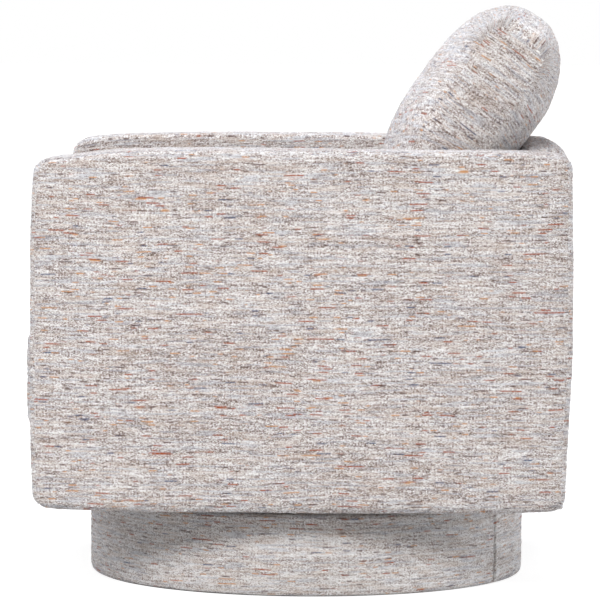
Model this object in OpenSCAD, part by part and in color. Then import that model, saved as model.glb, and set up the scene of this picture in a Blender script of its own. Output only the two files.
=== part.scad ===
// Swivel rocker: an upholstered armchair that turns and rocks on a round drum base.
// The chair faces -Y, X runs across it, and the origin is on the floor on the swivel axis.

/* [Body] */
// Height of the arms and the back above the floor
arm_top_z = 672; // [600:2:740]
// Height of the body's lower edge above the floor
body_base_z = 138; // [136:1:160]
// Thickness of each arm
arm_t = 120; // [105:1:140]
// Thickness of the back
back_t = 71; // [64:1:90]
// Padding over the front rail
front_pad_t = 24; // [14:1:34]
// Padding over the outside back
rear_pad_t = 12; // [8:1:24]
// Padding over the outside of each arm
side_pad_t = 15; // [10:1:24]
// Padding over the frame's top rails
top_pad_t = 24; // [14:1:34]
// Fabric and wadding wrapped under the frame
wrap_t = 8; // [4:1:10]
// Radius of the arms' front edges
front_edge_r = 23; // [10:1:26]
// Radius of the rear upright edges
rear_edge_r = 34; // [15:1:40]
// Radius of the body's lower front and rear corners
base_edge_r = 22; // [10:1:26]
// Radius of the edge over which the pillow leans
back_edge_r = 40; // [25:1:44]

/* [Seat cushion] */
// Height of the cushion's crown above the floor
seat_top_z = 457; // [420:1:480]
// How far the crown stands above the cushion's edge
seat_crown = 14; // [6:1:24]
// How far the cushion stands proud of the arm fronts
seat_proud = 14; // [6:1:24]
// Radius of the cushion's long edges
seat_edge_r = 44; // [25:1:60]
// How far the cushion's sides swell between their edges
seat_swell = 7; // [3:1:12]

/* [Back pillow] */
// Width of the pillow
pillow_w = 604; // [540:2:612]
// Thickness of the pillow's lower half
pillow_t = 214; // [170:1:220]
// Thickness of the pillow's upper half
pillow_top_t = 194; // [150:1:205]
// Upright length of the pillow before it bends back
pillow_straight = 141; // [120:1:160]
// Radius of the bend over the top of the back
pillow_bend_r = 172; // [150:1:220]
// Angle by which the upper half leans back
pillow_lean = 35; // [28:1:40]
// Length of the pillow above the bend
pillow_head = 210; // [160:1:225]
// Radius of the pillow's top end
pillow_end_r = 95; // [60:1:100]
// Radius of the pillow's foot
pillow_foot_r = 50; // [30:1:70]

/* [Wood frame] */
// Thickness of the seat rails
rail_t = 25; // [20:1:30]
// Height of the seat rails
rail_h = 55; // [50:1:65]
// Thickness of the arm frames
post_t = 30; // [25:1:38]
// Width of the arm and back posts
post_w = 45; // [38:1:60]
// Height of the arm and back stretchers
stretcher_h = 40; // [30:1:50]
// Thickness of the boards that carry the padding
board_t = 4; // [3:0.5:6]
// Width of the two rails that carry the mechanism
carrier_w = 44; // [36:1:60]
// Height of the two rails that carry the mechanism
carrier_h = 30; // [25:1:34]
// Side of the corner blocks
block_leg = 70; // [50:1:90]
// Thickness of the corner blocks
block_t = 18; // [12:1:20]

/* [Seat suspension] */
// Number of zigzag seat springs
zigzag_count = 5; // [3:1:6]
// Wire of the zigzag seat springs
zigzag_wire = 4; // [3:0.2:5]
// Width of each zigzag seat spring
zigzag_w = 52; // [40:1:60]
// Number of half waves along each zigzag spring
zigzag_waves = 26; // [16:2:32]
// Thickness of the deck pad
deck_t = 12; // [8:1:20]

/* [Drum base] */
// Diameter of the drum over its fabric
drum_d = 676; // [640:2:720]
// Height of the drum above the floor
drum_h = 120; // [112:1:121]
// Gap around the drum inside the seat frame
drum_gap = 18; // [16:1:30]
// Fabric and wadding around the drum
drum_cover_t = 8; // [5:1:12]
// Thickness of the bent drum wall
drum_wall_t = 8; // [6:1:12]
// Height of the drum cover's lower edge
drum_hem_z = 3; // [2:0.5:5]
// Thickness of the base board
base_board_t = 18; // [15:1:22]
// Height of the lower hoop
hoop_h = 18; // [12:1:22]
// Width of the lower hoop
hoop_w = 32; // [24:1:40]
// Height of the glue blocks
glue_block_h = 14; // [10:1:16]
// Height of the rubber floor ring
floor_ring_h = 8; // [6:0.5:10]

/* [Swivel bearing] */
// Radius of the circle on which the balls run
ball_circle_r = 120; // [114:1:130]
// Diameter of each ball
ball_d = 8; // [7:0.5:9]
// Number of balls
ball_count = 24; // [12:1:36]
// Thickness of the pressed races
race_t = 3; // [2.5:0.1:3.5]

/* [Rocking mechanism] */
// Height of the rocking axis above the floor
pivot_z = 140; // [138:0.5:142]
// Angle by which the seat rocks each way
rock_angle = 6; // [3:0.5:6.5]
// Thickness of the steel plates
plate_t = 4; // [3:0.5:5]
// Width of the carriage over its ears
carriage_w = 304; // [296:2:320]
// Depth of the carriage
carriage_l = 264; // [250:2:290]
// Diameter of the pivot pins
pin_d = 12; // [10:0.5:14]
// Diameter of the rubber bump stops
stop_d = 18; // [14:1:20]

/* [Coil springs] */
// Wire of the coil springs
coil_wire = 5; // [4:0.5:6]
// Mean diameter of the coil springs
coil_d = 34; // [30:1:38]
// Turns of each coil spring
coil_turns = 6; // [4:1:6]
// Distance of the coil springs from the carriage's outer sides
coil_side = 57; // [54:1:62]
// Distance of the coil springs from the carriage's ends
coil_end = 52; // [48:1:60]

/* [Hidden] */

// Smoothness and cutting values
$fn = 64;
cut = 1;
rest_gap = 0.35;
fit_gap = 0.05;

// Drum and the well in the seat frame around it
drum_r = drum_d / 2;
well = drum_r + drum_gap;
wall_out_r = drum_r - drum_cover_t;
wall_in_r = wall_out_r - drum_wall_t;
cover_lip_w = drum_wall_t + 4 * rest_gap;
cover_edge_r = 0.8 * drum_cover_t;
wall_top_z = drum_h - drum_cover_t;
hoop_z = floor_ring_h;
glue_block_z = hoop_z + hoop_h;
base_board_z = glue_block_z + glue_block_h;
base_top_z = base_board_z + base_board_t;
floor_ring_w = 32;
floor_ring_inset = 2;
bottom_cover_t = 1.2;
bottom_cover_lap = 6;
glue_block_l = 40;
glue_block_count = 6;
board_hole_r = 40;
glue_block_side = 2;

// Outer faces of the body
body_w = 2 * (well + rail_t + post_t + board_t + side_pad_t);
front_y = -(well + rail_t + front_pad_t);
rear_y = well + rail_t + rear_pad_t;
arm_in_x = body_w / 2 - arm_t;
back_in_y = rear_y - back_t;

// Seat frame heights
rail_z = body_base_z + wrap_t;
rail_top_z = rail_z + rail_h;
deck_z = rail_top_z + zigzag_wire;
deck_top_z = deck_z + deck_t;
frame_top_z = arm_top_z - top_pad_t;

// Swivel bearing, from the base board up
ball_r = ball_d / 2;
groove_r = ball_r + fit_gap;
groove_share = 0.25;
race_gap = ball_d * (1 - 2 * groove_share);
race_lift = 8;
race_low_z = base_top_z + race_lift;
race_low_top_z = race_low_z + race_t;
ball_z = race_low_top_z + race_gap / 2;
race_up_z = race_low_top_z + race_gap;
race_up_top_z = race_up_z + race_t;
race_rim = 17;
race_land = 11;
race_flange_w = 10;
race_neck_r = ball_circle_r - race_rim;
race_bolt_r = race_neck_r - race_land;
race_flange_r = race_bolt_r - race_flange_w;
skirt_gap = 4;
hook_gap = 0.8;
hook_lap = 6;
cage_w = 16;
cage_t = 2;
screw_count = 6;
screw_r = 2.5;
screw_head_r = 5;
screw_head_h = 3;
screw_l = 16;

// Carriage and its ears
carriage_z = race_up_top_z;
carriage_top_z = carriage_z + plate_t;
ear_x = carriage_w / 2 - plate_t;
ear_boss_r = 14;
bolt_r = 4;
bolt_head_r = 7;
bolt_head_h = 4;
nut_h = 5;
carriage_bolt_count = 6;

// Seat plate, hung under the two mechanism rails
seat_plate_side = 13;
seat_plate_end = 10;
seat_plate_w = carriage_w + 2 * seat_plate_side;
seat_plate_l = carriage_l + 2 * seat_plate_end;
cleat_h = 12;
cleat_w = 12;
carrier_z = rail_z + cleat_h + plate_t + cut;
seat_plate_top_z = carrier_z;
seat_plate_z = seat_plate_top_z - plate_t;
carrier_inset = 55;
seat_bolt_inset = 18;
carrier_x = seat_plate_w / 2 - carrier_inset;
seat_bolt_y = seat_plate_l / 2 - seat_bolt_inset;
seat_ear_w = 60;
seat_ear_x = ear_x - 2 * plate_t;
bush_flange_t = 2;
bush_wall = 3;
bush_flange_w = 3;
washer_t = 1.4;
pin_head_t = 4;
pin_head_w = 3;
clip_t = 2;
clip_w = 3;
pin_tail = 3;

// Bump stops: their tops meet the seat plate at the end of the rocking angle
stop_inset = 32;
stop_y = carriage_l / 2 - stop_inset;
stop_x = ear_x + plate_t - stop_d / 2 - rest_gap;
stop_h = 6;
stop_reach = stop_y + stop_d / 2;
stop_top_z = pivot_z + (seat_plate_z - pivot_z) * cos(rock_angle) - stop_reach * sin(rock_angle)
    - rest_gap;
shelf_top_z = stop_top_z - stop_h;
shelf_w = stop_d + 4 * rest_gap;

// Coil springs and their cups
cup_floor_t = 2;
cup_rim = 4;
cup_wall_h = 5;
cup_spigot_h = 14;
cup_r = coil_d / 2 + coil_wire / 2 + cup_rim;
coil_x = carriage_w / 2 - coil_side;
coil_y = carriage_l / 2 - coil_end;
coil_low_z = carriage_top_z + cup_floor_t + coil_wire / 2;
coil_high_z = seat_plate_z - cup_floor_t - coil_wire / 2;
coil_rings = 8;
coil_sides = 6;
cup_spigot_r = (coil_d - coil_wire) / 2 * cos(180 / coil_rings) - rest_gap;

// Frame details
post_z = rail_z;
ledge_w = 66;
back_post_x = arm_in_x - rest_gap;
arm_bolt_inset = 10;
arm_bolt_rise = 17;
arm_bolt_y = well - arm_bolt_inset;
arm_bolt_z = rail_z + arm_bolt_rise;
rail_screw_l = 60;
rail_screw_r = 2.5;
rail_screw_z_shares = [0.12, 0.75];
clip_l = 16;
clip_h = 1.5;
clip_side = 12;
zigzag_reach = well + rail_t / 2;
dust_t = 1.2;

// Soft shapes
cushion_points = 44;
cushion_power = 12;
crown_power = 4;
cushion_seat_z = deck_top_z + rest_gap;
cushion_front_y = front_y - seat_proud;
cushion_rear_y = back_in_y - rest_gap;
cushion_half_x = arm_in_x - rest_gap;
cushion_half_y = (cushion_rear_y - cushion_front_y) / 2;
cushion_mid_y = (cushion_rear_y + cushion_front_y) / 2;
cushion_edge_z = seat_top_z - seat_crown;
cushion_edge_steps = 4;
cushion_side_steps = 4;
cushion_top_shares = [0.88, 0.72, 0.5, 0.25];
cushion_floor_shares = [0.3, 0.65];
pillow_points = 44;
pillow_power = 4.5;
pillow_end_power = 1.9;
pillow_back_gap = 3;
pillow_z = seat_top_z + rest_gap;
pillow_y = back_in_y - rest_gap - pillow_t / 2;
pillow_rings = 24;
pillow_bend_l = pillow_bend_r * pillow_lean * PI / 180;
pillow_l = pillow_straight + pillow_bend_l + pillow_head;
pillow_taper_share = 0.2;

// Flat outline with its own radius at each corner: lower left, lower right, upper right, upper left
module corner_rect(w, h, radii) {
    corners = [[0, 0], [w, 0], [w, h], [0, h]];
    inward = [[1, 1], [-1, 1], [-1, -1], [1, -1]];
    difference() {
        square([w, h]);
        for (i = [0 : 3]) if (radii[i] > 0) {
            far = [for (k = [0, 1]) min(corners[i][k], corners[i][k] + inward[i][k] * radii[i])];
            translate(far) square(radii[i]);
        }
    }
    for (i = [0 : 3]) if (radii[i] > 0) intersection() {
        far = [for (k = [0, 1]) min(corners[i][k], corners[i][k] + inward[i][k] * radii[i])];
        translate(far) square(radii[i]);
        translate(corners[i] + inward[i] * radii[i]) circle(radii[i]);
    }
}

// Box between two corners
module span(low, high) {
    translate(low) cube(high - low);
}

// Flat outline drawn in Y and Z, drawn out along X
module along_x(x0, x1) {
    translate([x0, 0, 0]) rotate([90, 0, 90]) linear_extrude(x1 - x0) children();
}

// Flat outline drawn in X and Z, drawn out along Y
module along_y(y0, y1) {
    translate([0, y1, 0]) rotate([90, 0, 0]) linear_extrude(y1 - y0) children();
}

// Ring around the swivel axis
module ring(r_in, r_out, z0, z1) {
    rotate_extrude($fn = 180) translate([r_in, z0]) square([r_out - r_in, z1 - z0]);
}

// Copies turned evenly around the swivel axis
module around(count, radius, start = 0) {
    for (i = [0 : count - 1]) rotate(start + i * 360 / count) translate([radius, 0, 0]) children();
}

// Copies at the four corners of a rectangle
module four(x, y) {
    for (i = [-1, 1], j = [-1, 1]) translate([i * x, j * y, 0]) children();
}

// Drum base

module floor_ring() {
    color("dimgray") ring(wall_out_r - floor_ring_inset - floor_ring_w, wall_out_r - floor_ring_inset,
        0, floor_ring_h);
}

module base_lower_hoop() {
    color("burlywood") ring(wall_in_r - hoop_w, wall_in_r, hoop_z, glue_block_z);
}

module base_glue_blocks() {
    block_w = hoop_w - 2 * glue_block_side;
    color("tan") around(glue_block_count, wall_in_r - hoop_w / 2)
        translate([-block_w / 2, -glue_block_l / 2, glue_block_z])
            cube([block_w, glue_block_l, glue_block_h]);
}

module base_board() {
    color("burlywood") difference() {
        ring(board_hole_r, wall_in_r, base_board_z, base_top_z);
        around(screw_count, race_bolt_r)
            translate([0, 0, base_top_z - screw_l]) cylinder(r = screw_r, h = screw_l + cut);
    }
}

module drum_wall() {
    color("wheat") ring(wall_in_r, wall_out_r, hoop_z, wall_top_z);
}

module drum_cover() {
    color("lightgray") rotate_extrude($fn = 180) difference() {
        union() {
            translate([wall_out_r, drum_hem_z]) square([drum_cover_t - cover_edge_r, drum_h - drum_hem_z]);
            translate([wall_out_r, drum_hem_z]) square([drum_cover_t, drum_h - drum_hem_z - cover_edge_r]);
            translate([drum_r - cover_edge_r, drum_h - cover_edge_r]) circle(cover_edge_r);
            translate([wall_out_r - cover_lip_w, wall_top_z]) square([cover_lip_w, drum_cover_t]);
        }
        translate([wall_in_r - cut, hoop_z]) square([drum_wall_t + cut, wall_top_z - hoop_z]);
    }
}

module drum_bottom_cover() {
    r = wall_in_r - hoop_w + bottom_cover_lap;
    color("#202020") translate([0, 0, hoop_z - bottom_cover_t])
        cylinder(r = min(r, wall_out_r - floor_ring_inset - floor_ring_w), h = bottom_cover_t, $fn = 120);
}

// Swivel bearing

module race_lower() {
    rim_r = ball_circle_r + race_rim;
    color("silver") difference() {
        rotate_extrude($fn = 120) difference() {
            union() {
                translate([race_flange_r, base_top_z]) square([race_neck_r - race_flange_r, race_t]);
                translate([race_neck_r - race_t, base_top_z]) square([race_t, race_lift + race_t]);
                translate([race_neck_r - race_t, race_low_z]) square([rim_r - race_neck_r + race_t, race_t]);
            }
            translate([ball_circle_r, ball_z]) circle(groove_r);
        }
        around(screw_count, race_bolt_r)
            translate([0, 0, base_top_z - cut]) cylinder(r = screw_r, h = race_t + 2 * cut);
    }
}

module race_screws() {
    color("gainsboro") around(screw_count, race_bolt_r) {
        translate([0, 0, base_top_z - screw_l]) cylinder(r = screw_r, h = screw_l + race_t, $fn = 24);
        translate([0, 0, base_top_z + race_t]) cylinder(r = screw_head_r, h = screw_head_h, $fn = 24);
    }
}

module bearing_balls() {
    color("white") around(ball_count, ball_circle_r) translate([0, 0, ball_z]) sphere(ball_r, $fn = 24);
}

module ball_cage() {
    color("ivory") difference() {
        ring(ball_circle_r - cage_w / 2, ball_circle_r + cage_w / 2, ball_z - cage_t / 2,
            ball_z + cage_t / 2);
        around(ball_count, ball_circle_r)
            translate([0, 0, ball_z - cage_t]) cylinder(r = ball_r + fit_gap, h = 2 * cage_t, $fn = 24);
    }
}

module race_upper() {
    skirt_r = ball_circle_r + race_rim + skirt_gap;
    hook_top_z = race_low_z - hook_gap;
    color("silver") difference() {
        rotate_extrude($fn = 120) difference() {
            union() {
                translate([race_flange_r, race_up_z]) square([skirt_r + race_t - race_flange_r, race_t]);
                translate([skirt_r, hook_top_z - race_t]) square([race_t, race_up_z - hook_top_z + race_t]);
                translate([skirt_r - skirt_gap - hook_lap, hook_top_z - race_t])
                    square([skirt_gap + hook_lap + race_t, race_t]);
            }
            translate([ball_circle_r, ball_z]) circle(groove_r);
        }
        around(carriage_bolt_count, race_bolt_r)
            translate([0, 0, race_up_z - cut]) cylinder(r = bolt_r, h = race_t + 2 * cut);
    }
}

// Carriage: a steel plate with two upturned ears that carry the pivot pins and the bump stops

module carriage_ear() {
    ear_l = carriage_l - plate_t;
    difference() {
        union() {
            along_x(ear_x, ear_x + plate_t) polygon([
                [-ear_l / 2, carriage_z], [ear_l / 2, carriage_z], [ear_l / 2, shelf_top_z],
                [-ear_l / 2, shelf_top_z]
            ]);
            along_x(ear_x, ear_x + plate_t) translate([0, pivot_z]) circle(ear_boss_r);
            for (j = [-1, 1]) span(
                [ear_x + plate_t - shelf_w, j * stop_y - shelf_w / 2, shelf_top_z - plate_t],
                [ear_x + plate_t, j * stop_y + shelf_w / 2, shelf_top_z]
            );
        }
        translate([ear_x - cut, 0, pivot_z]) rotate([0, 90, 0]) cylinder(r = pin_d / 2, h = plate_t + 2 * cut);
    }
}

module rocker_carriage() {
    color("slategray") difference() {
        union() {
            span([-ear_x - plate_t, -carriage_l / 2, carriage_z], [ear_x + plate_t, carriage_l / 2, carriage_top_z]);
            carriage_ear();
            mirror([1, 0, 0]) carriage_ear();
        }
        around(carriage_bolt_count, race_bolt_r)
            translate([0, 0, carriage_z - cut]) cylinder(r = bolt_r, h = plate_t + 2 * cut);
    }
}

module carriage_bolts() {
    color("gainsboro") around(carriage_bolt_count, race_bolt_r) {
        translate([0, 0, race_up_z - nut_h]) cylinder(r = bolt_head_r, h = nut_h, $fn = 6);
        translate([0, 0, race_up_z - cut]) cylinder(r = bolt_r, h = race_t + plate_t + 2 * cut, $fn = 24);
        translate([0, 0, carriage_top_z]) cylinder(r = bolt_head_r, h = bolt_head_h, $fn = 24);
    }
}

// Pivot parts lie on the rocking axis, one set at each side
module on_pivot(x0, r, l) {
    for (i = [0, 1]) mirror([i, 0, 0])
        translate([x0, 0, pivot_z]) rotate([0, 90, 0]) cylinder(r = r, h = l, $fn = 48);
}

pin_in_x = seat_ear_x - bush_flange_t - clip_t - pin_tail;

module pivot_pins() {
    color("silver") {
        on_pivot(pin_in_x, pin_d / 2, ear_x + plate_t + rest_gap - pin_in_x);
        on_pivot(ear_x + plate_t, pin_d / 2 + pin_head_w, pin_head_t);
    }
}

module pivot_washers() {
    color("gainsboro") difference() {
        on_pivot(ear_x - washer_t, pin_d / 2 + bush_wall + bush_flange_w, washer_t);
        on_pivot(ear_x - washer_t - cut, pin_d / 2, washer_t + 2 * cut);
    }
}

module pivot_clips() {
    clip_x = pin_in_x + pin_tail - rest_gap;
    color("gainsboro") difference() {
        on_pivot(clip_x, pin_d / 2 + clip_w, clip_t);
        on_pivot(clip_x - cut, pin_d / 2, clip_t + 2 * cut);
    }
}

module spring_cup() {
    difference() {
        cylinder(r = cup_r, h = cup_wall_h, $fn = 48);
        translate([0, 0, cup_floor_t]) cylinder(r = cup_r - cup_rim / 2, h = cup_wall_h, $fn = 48);
    }
    cylinder(r = cup_spigot_r, h = cup_spigot_h, $fn = 48);
}

module spring_cups_lower() {
    color("black") four(coil_x, coil_y) translate([0, 0, carriage_top_z]) spring_cup();
}

// Coil spring: one unbroken tube of round wire swept along a helix

function coil_point(i) = let (turn = i / coil_rings)
    [coil_d / 2 * cos(360 * turn), coil_d / 2 * sin(360 * turn),
        coil_low_z + (coil_high_z - coil_low_z) * turn / coil_turns];
function coil_section(i) = let (turn = i / coil_rings, middle = coil_point(i))
    [for (k = [0 : coil_sides - 1]) let (a = 360 * k / coil_sides)
        middle + coil_wire / 2 * [cos(a) * cos(360 * turn), cos(a) * sin(360 * turn), sin(a)]];
function tube_faces(rings, sides) = concat(
    [for (k = [1 : sides - 2]) [0, k + 1, k]],
    [for (k = [1 : sides - 2]) [(rings - 1) * sides, (rings - 1) * sides + k, (rings - 1) * sides + k + 1]],
    [for (i = [0 : rings - 2], k = [0 : sides - 1]) [i * sides + k, i * sides + (k + 1) % sides,
        (i + 1) * sides + (k + 1) % sides]],
    [for (i = [0 : rings - 2], k = [0 : sides - 1]) [i * sides + k, (i + 1) * sides + (k + 1) % sides,
        (i + 1) * sides + k]]
);
coil_last = coil_rings * coil_turns;
coil_gap = min([for (i = [0 : coil_last], j = [0 : coil_last]) if (j >= i + coil_rings / 2)
    norm(coil_point(j) - coil_point(i)) - coil_wire]);
echo("least gap between the turns of a coil spring, in mm", coil_gap);

module coil_pair(side) {
    color("darkgray") for (i = [-1, 1]) translate([i * coil_x, side * coil_y, 0]) polyhedron(
        [for (i = [0 : coil_last]) each coil_section(i)],
        tube_faces(coil_last + 1, coil_sides)
    );
}

module coil_springs_front() {
    coil_pair(-1);
}

module coil_springs_rear() {
    coil_pair(1);
}

module bump_stops() {
    color("black") four(stop_x, stop_y) translate([0, 0, shelf_top_z])
        cylinder(r = stop_d / 2, h = stop_h, $fn = 36);
}

// Seat plate: a steel plate with two downturned ears that hang on the pivot pins

module seat_ear() {
    difference() {
        union() {
            span([seat_ear_x, -seat_ear_w / 2, pivot_z], [seat_ear_x + plate_t, seat_ear_w / 2, seat_plate_z + cut]);
            along_x(seat_ear_x, seat_ear_x + plate_t) translate([0, pivot_z]) circle(ear_boss_r);
        }
        translate([seat_ear_x - cut, 0, pivot_z]) rotate([0, 90, 0])
            cylinder(r = pin_d / 2 + bush_wall, h = plate_t + 2 * cut);
    }
}

module seat_plate() {
    color("slategray") difference() {
        union() {
            span([-seat_plate_w / 2, -seat_plate_l / 2, seat_plate_z],
                [seat_plate_w / 2, seat_plate_l / 2, seat_plate_top_z]);
            seat_ear();
            mirror([1, 0, 0]) seat_ear();
        }
        four(carrier_x, seat_bolt_y)
            translate([0, 0, seat_plate_z - cut]) cylinder(r = bolt_r, h = plate_t + 2 * cut);
    }
}

module pivot_bushes() {
    color("ivory") difference() {
        union() {
            on_pivot(seat_ear_x - bush_flange_t, pin_d / 2 + bush_wall, plate_t + 2 * bush_flange_t);
            on_pivot(seat_ear_x - bush_flange_t, pin_d / 2 + bush_wall + bush_flange_w, bush_flange_t);
            on_pivot(seat_ear_x + plate_t, pin_d / 2 + bush_wall + bush_flange_w, bush_flange_t);
        }
        on_pivot(seat_ear_x - bush_flange_t - cut, pin_d / 2 + fit_gap, plate_t + 2 * bush_flange_t + 2 * cut);
    }
}

module spring_cups_upper() {
    color("black") four(coil_x, coil_y) translate([0, 0, seat_plate_z]) mirror([0, 0, 1]) spring_cup();
}

module seat_plate_bolts() {
    color("gainsboro") four(carrier_x, seat_bolt_y) {
        translate([0, 0, seat_plate_z - bolt_head_h]) cylinder(r = bolt_head_r, h = bolt_head_h, $fn = 6);
        translate([0, 0, seat_plate_z - cut]) cylinder(r = bolt_r, h = plate_t + carrier_h + 2 * cut, $fn = 24);
        translate([0, 0, carrier_z + carrier_h]) cylinder(r = bolt_head_r, h = nut_h, $fn = 6);
    }
}

// Seat frame

module mechanism_rails() {
    color("burlywood") difference() {
        for (i = [-1, 1]) span([i * carrier_x - carrier_w / 2, -well, carrier_z],
            [i * carrier_x + carrier_w / 2, well, carrier_z + carrier_h]);
        four(carrier_x, seat_bolt_y)
            translate([0, 0, carrier_z - cut]) cylinder(r = bolt_r, h = carrier_h + 2 * cut);
    }
}

// Screws that run along Y through the front and back rails into the side rails
module rail_screw_places() {
    for (i = [-1, 1], j = [0, 1], share = rail_screw_z_shares) mirror([0, j, 0])
        translate([i * (well + rail_t / 2), -well - rail_t, rail_z + share * rail_h])
            rotate([-90, 0, 0]) cylinder(r = rail_screw_r, h = rail_screw_l, $fn = 24);
}

module cross_rail(side) {
    color("burlywood") difference() {
        span([-well - rail_t, side > 0 ? well : -well - rail_t, rail_z],
            [well + rail_t, side > 0 ? well + rail_t : -well, rail_top_z]);
        rail_screw_places();
    }
}

module front_rail() {
    cross_rail(-1);
}

module back_rail() {
    cross_rail(1);
}

module arm_bolt_places(extra) {
    for (i = [0, 1], j = [-1, 1]) mirror([i, 0, 0])
        translate([well - extra, j * arm_bolt_y, arm_bolt_z]) rotate([0, 90, 0])
            cylinder(r = bolt_r, h = rail_t + post_t + extra, $fn = 24);
}

module left_side_rail() {
    difference() {
        span([well, -well, rail_z], [well + rail_t, well, rail_top_z]);
        rail_screw_places();
        arm_bolt_places(cut);
    }
}

module side_rail_left() {
    color("burlywood") left_side_rail();
}

module side_rail_right() {
    color("burlywood") mirror([1, 0, 0]) left_side_rail();
}

module corner_blocks() {
    block_z = rail_top_z - block_t;
    color("tan") for (i = [0, 1], j = [0, 1]) mirror([i, 0, 0]) mirror([0, j, 0])
        translate([0, 0, block_z]) linear_extrude(block_t)
            polygon([[well, well], [well - block_leg, well], [well, well - block_leg]]);
}

module frame_cleats() {
    cleat_l = arm_bolt_y - 2 * bolt_head_r;
    color("tan") {
        for (j = [0, 1]) mirror([0, j, 0])
            span([-well + cleat_w, well - cleat_w, carrier_z - cleat_h], [well - cleat_w, well, carrier_z]);
        for (i = [0, 1]) mirror([i, 0, 0])
            span([well - cleat_w, -cleat_l, carrier_z - cleat_h], [well, cleat_l, carrier_z]);
    }
}

module rail_screws() {
    color("gainsboro") rail_screw_places();
}

// Arm frame: two posts and three rails outside the side rail, and the ledge under the arm's top
module left_arm_frame() {
    x0 = well + rail_t;
    x1 = x0 + post_t;
    y1 = well + rail_t;
    ledge_z = frame_top_z - rail_t;
    difference() {
        union() {
            for (j = [0, 1]) mirror([0, j, 0]) span([x0, y1 - post_w, post_z], [x1, y1, ledge_z]);
            span([x0, -y1 + post_w, post_z], [x1, y1 - post_w, post_z + stretcher_h]);
            span([x0, -y1 + post_w, (post_z + ledge_z - stretcher_h) / 2],
                [x1, y1 - post_w, (post_z + ledge_z + stretcher_h) / 2]);
            span([x1 - ledge_w, -y1, ledge_z], [x1, y1, frame_top_z]);
        }
        arm_bolt_places(cut);
    }
}

module arm_frame_left() {
    color("burlywood") left_arm_frame();
}

module arm_frame_right() {
    color("burlywood") mirror([1, 0, 0]) left_arm_frame();
}

// Boards that close the arm: one outside the frame, one under the inner padding
module left_arm_boards() {
    x1 = well + rail_t + post_t;
    y1 = well + rail_t;
    span([x1, -y1, post_z], [x1 + board_t, y1, frame_top_z]);
    span([x1 - ledge_w - board_t, -y1, deck_top_z], [x1 - ledge_w, back_in_y, frame_top_z]);
}

module arm_boards_left() {
    color("peru") left_arm_boards();
}

module arm_boards_right() {
    color("peru") mirror([1, 0, 0]) left_arm_boards();
}

module arm_bolts() {
    color("gainsboro") {
        arm_bolt_places(0);
        for (i = [0, 1], j = [-1, 1]) mirror([i, 0, 0])
            translate([well - bolt_head_h, j * arm_bolt_y, arm_bolt_z]) rotate([0, 90, 0])
                cylinder(r = bolt_head_r, h = bolt_head_h, $fn = 6);
    }
}

module back_frame() {
    y0 = well;
    y1 = well + rail_t;
    color("burlywood") {
        for (i = [0, 1]) mirror([i, 0, 0])
            span([back_post_x - post_w, y0, rail_top_z], [back_post_x, y1, frame_top_z]);
        span([-back_post_x + post_w, y0, frame_top_z - stretcher_h], [back_post_x - post_w, y1, frame_top_z]);
        span([-back_post_x + post_w, y0, (rail_top_z + frame_top_z - stretcher_h) / 2],
            [back_post_x - post_w, y1, (rail_top_z + frame_top_z + stretcher_h) / 2]);
    }
}

module back_board() {
    color("peru") span([-back_post_x, well - board_t, deck_top_z], [back_post_x, well, frame_top_z]);
}

// Seat suspension: zigzag wire springs from the front rail to the back rail

zigzag_room = back_post_x - post_w - zigzag_wire - zigzag_w / 2;
zigzag_pitch = 2 * zigzag_room / max(zigzag_count - 1, 1);
zigzag_step = 2 * zigzag_reach / zigzag_waves;
function zigzag_x(i) = (i - (zigzag_count - 1) / 2) * zigzag_pitch;
function zigzag_turn(k) = [(k % 2 == 0 ? -1 : 1) * (zigzag_w - zigzag_step) / 2, -zigzag_reach + (k + 0.5) * zigzag_step];

// Straight bars across, joined by half rings at alternate sides
module zigzag_wave(k) {
    half = (zigzag_w - zigzag_step) / 2;
    translate([-half, -zigzag_reach + k * zigzag_step - zigzag_wire / 2]) square([2 * half, zigzag_wire]);
    if (k < zigzag_waves) intersection() {
        translate(zigzag_turn(k)) difference() {
            circle(zigzag_step / 2 + zigzag_wire / 2, $fn = 32);
            circle(zigzag_step / 2 - zigzag_wire / 2, $fn = 32);
        }
        translate([k % 2 == 0 ? -half - zigzag_w : half, -2 * zigzag_reach]) square([zigzag_w, 4 * zigzag_reach]);
    }
}

module seat_springs() {
    color("dimgray") for (i = [0 : zigzag_count - 1]) translate([zigzag_x(i), 0, rail_top_z])
        linear_extrude(zigzag_wire) for (k = [0 : zigzag_waves]) zigzag_wave(k);
}

// Clips: a bridge over each end bar with a foot before and behind it
module spring_clips() {
    foot = (clip_side - zigzag_wire) / 2 - rest_gap;
    color("silver") for (i = [0 : zigzag_count - 1], j = [-1, 1])
        translate([zigzag_x(i) - clip_l / 2, j * zigzag_reach - clip_side / 2, rail_top_z]) {
            cube([clip_l, foot, zigzag_wire + clip_h]);
            translate([0, clip_side - foot, 0]) cube([clip_l, foot, zigzag_wire + clip_h]);
            translate([0, 0, zigzag_wire]) cube([clip_l, clip_side, clip_h]);
        }
}

// Room over the rails for the springs' ends and their clips
module clip_room() {
    x = zigzag_x(zigzag_count - 1) + (zigzag_w + zigzag_wire) / 2 + rest_gap;
    for (j = [0, 1]) mirror([0, j, 0])
        span([-x, well - cut, rail_top_z], [x, well + rail_t, rail_top_z + zigzag_wire + clip_h + rest_gap]);
}

module deck_pad() {
    color("gray") span([-well, -well, deck_z], [well, well, deck_top_z]);
}

module seat_dust_cover() {
    reach = well - cleat_w;
    color("#202020") difference() {
        span([-reach, -reach, carrier_z - dust_t], [reach, reach, carrier_z]);
        span([-seat_plate_w / 2 - cut, -seat_plate_l / 2 - cut, carrier_z - dust_t - cut],
            [seat_plate_w / 2 + cut, seat_plate_l / 2 + cut, carrier_z + cut]);
    }
}

// Upholstery

// The square well in the body's underside that the drum's rim rises into
module seat_well() {
    span([-well, -well, body_base_z - cut], [well, well, deck_top_z]);
}

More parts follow.
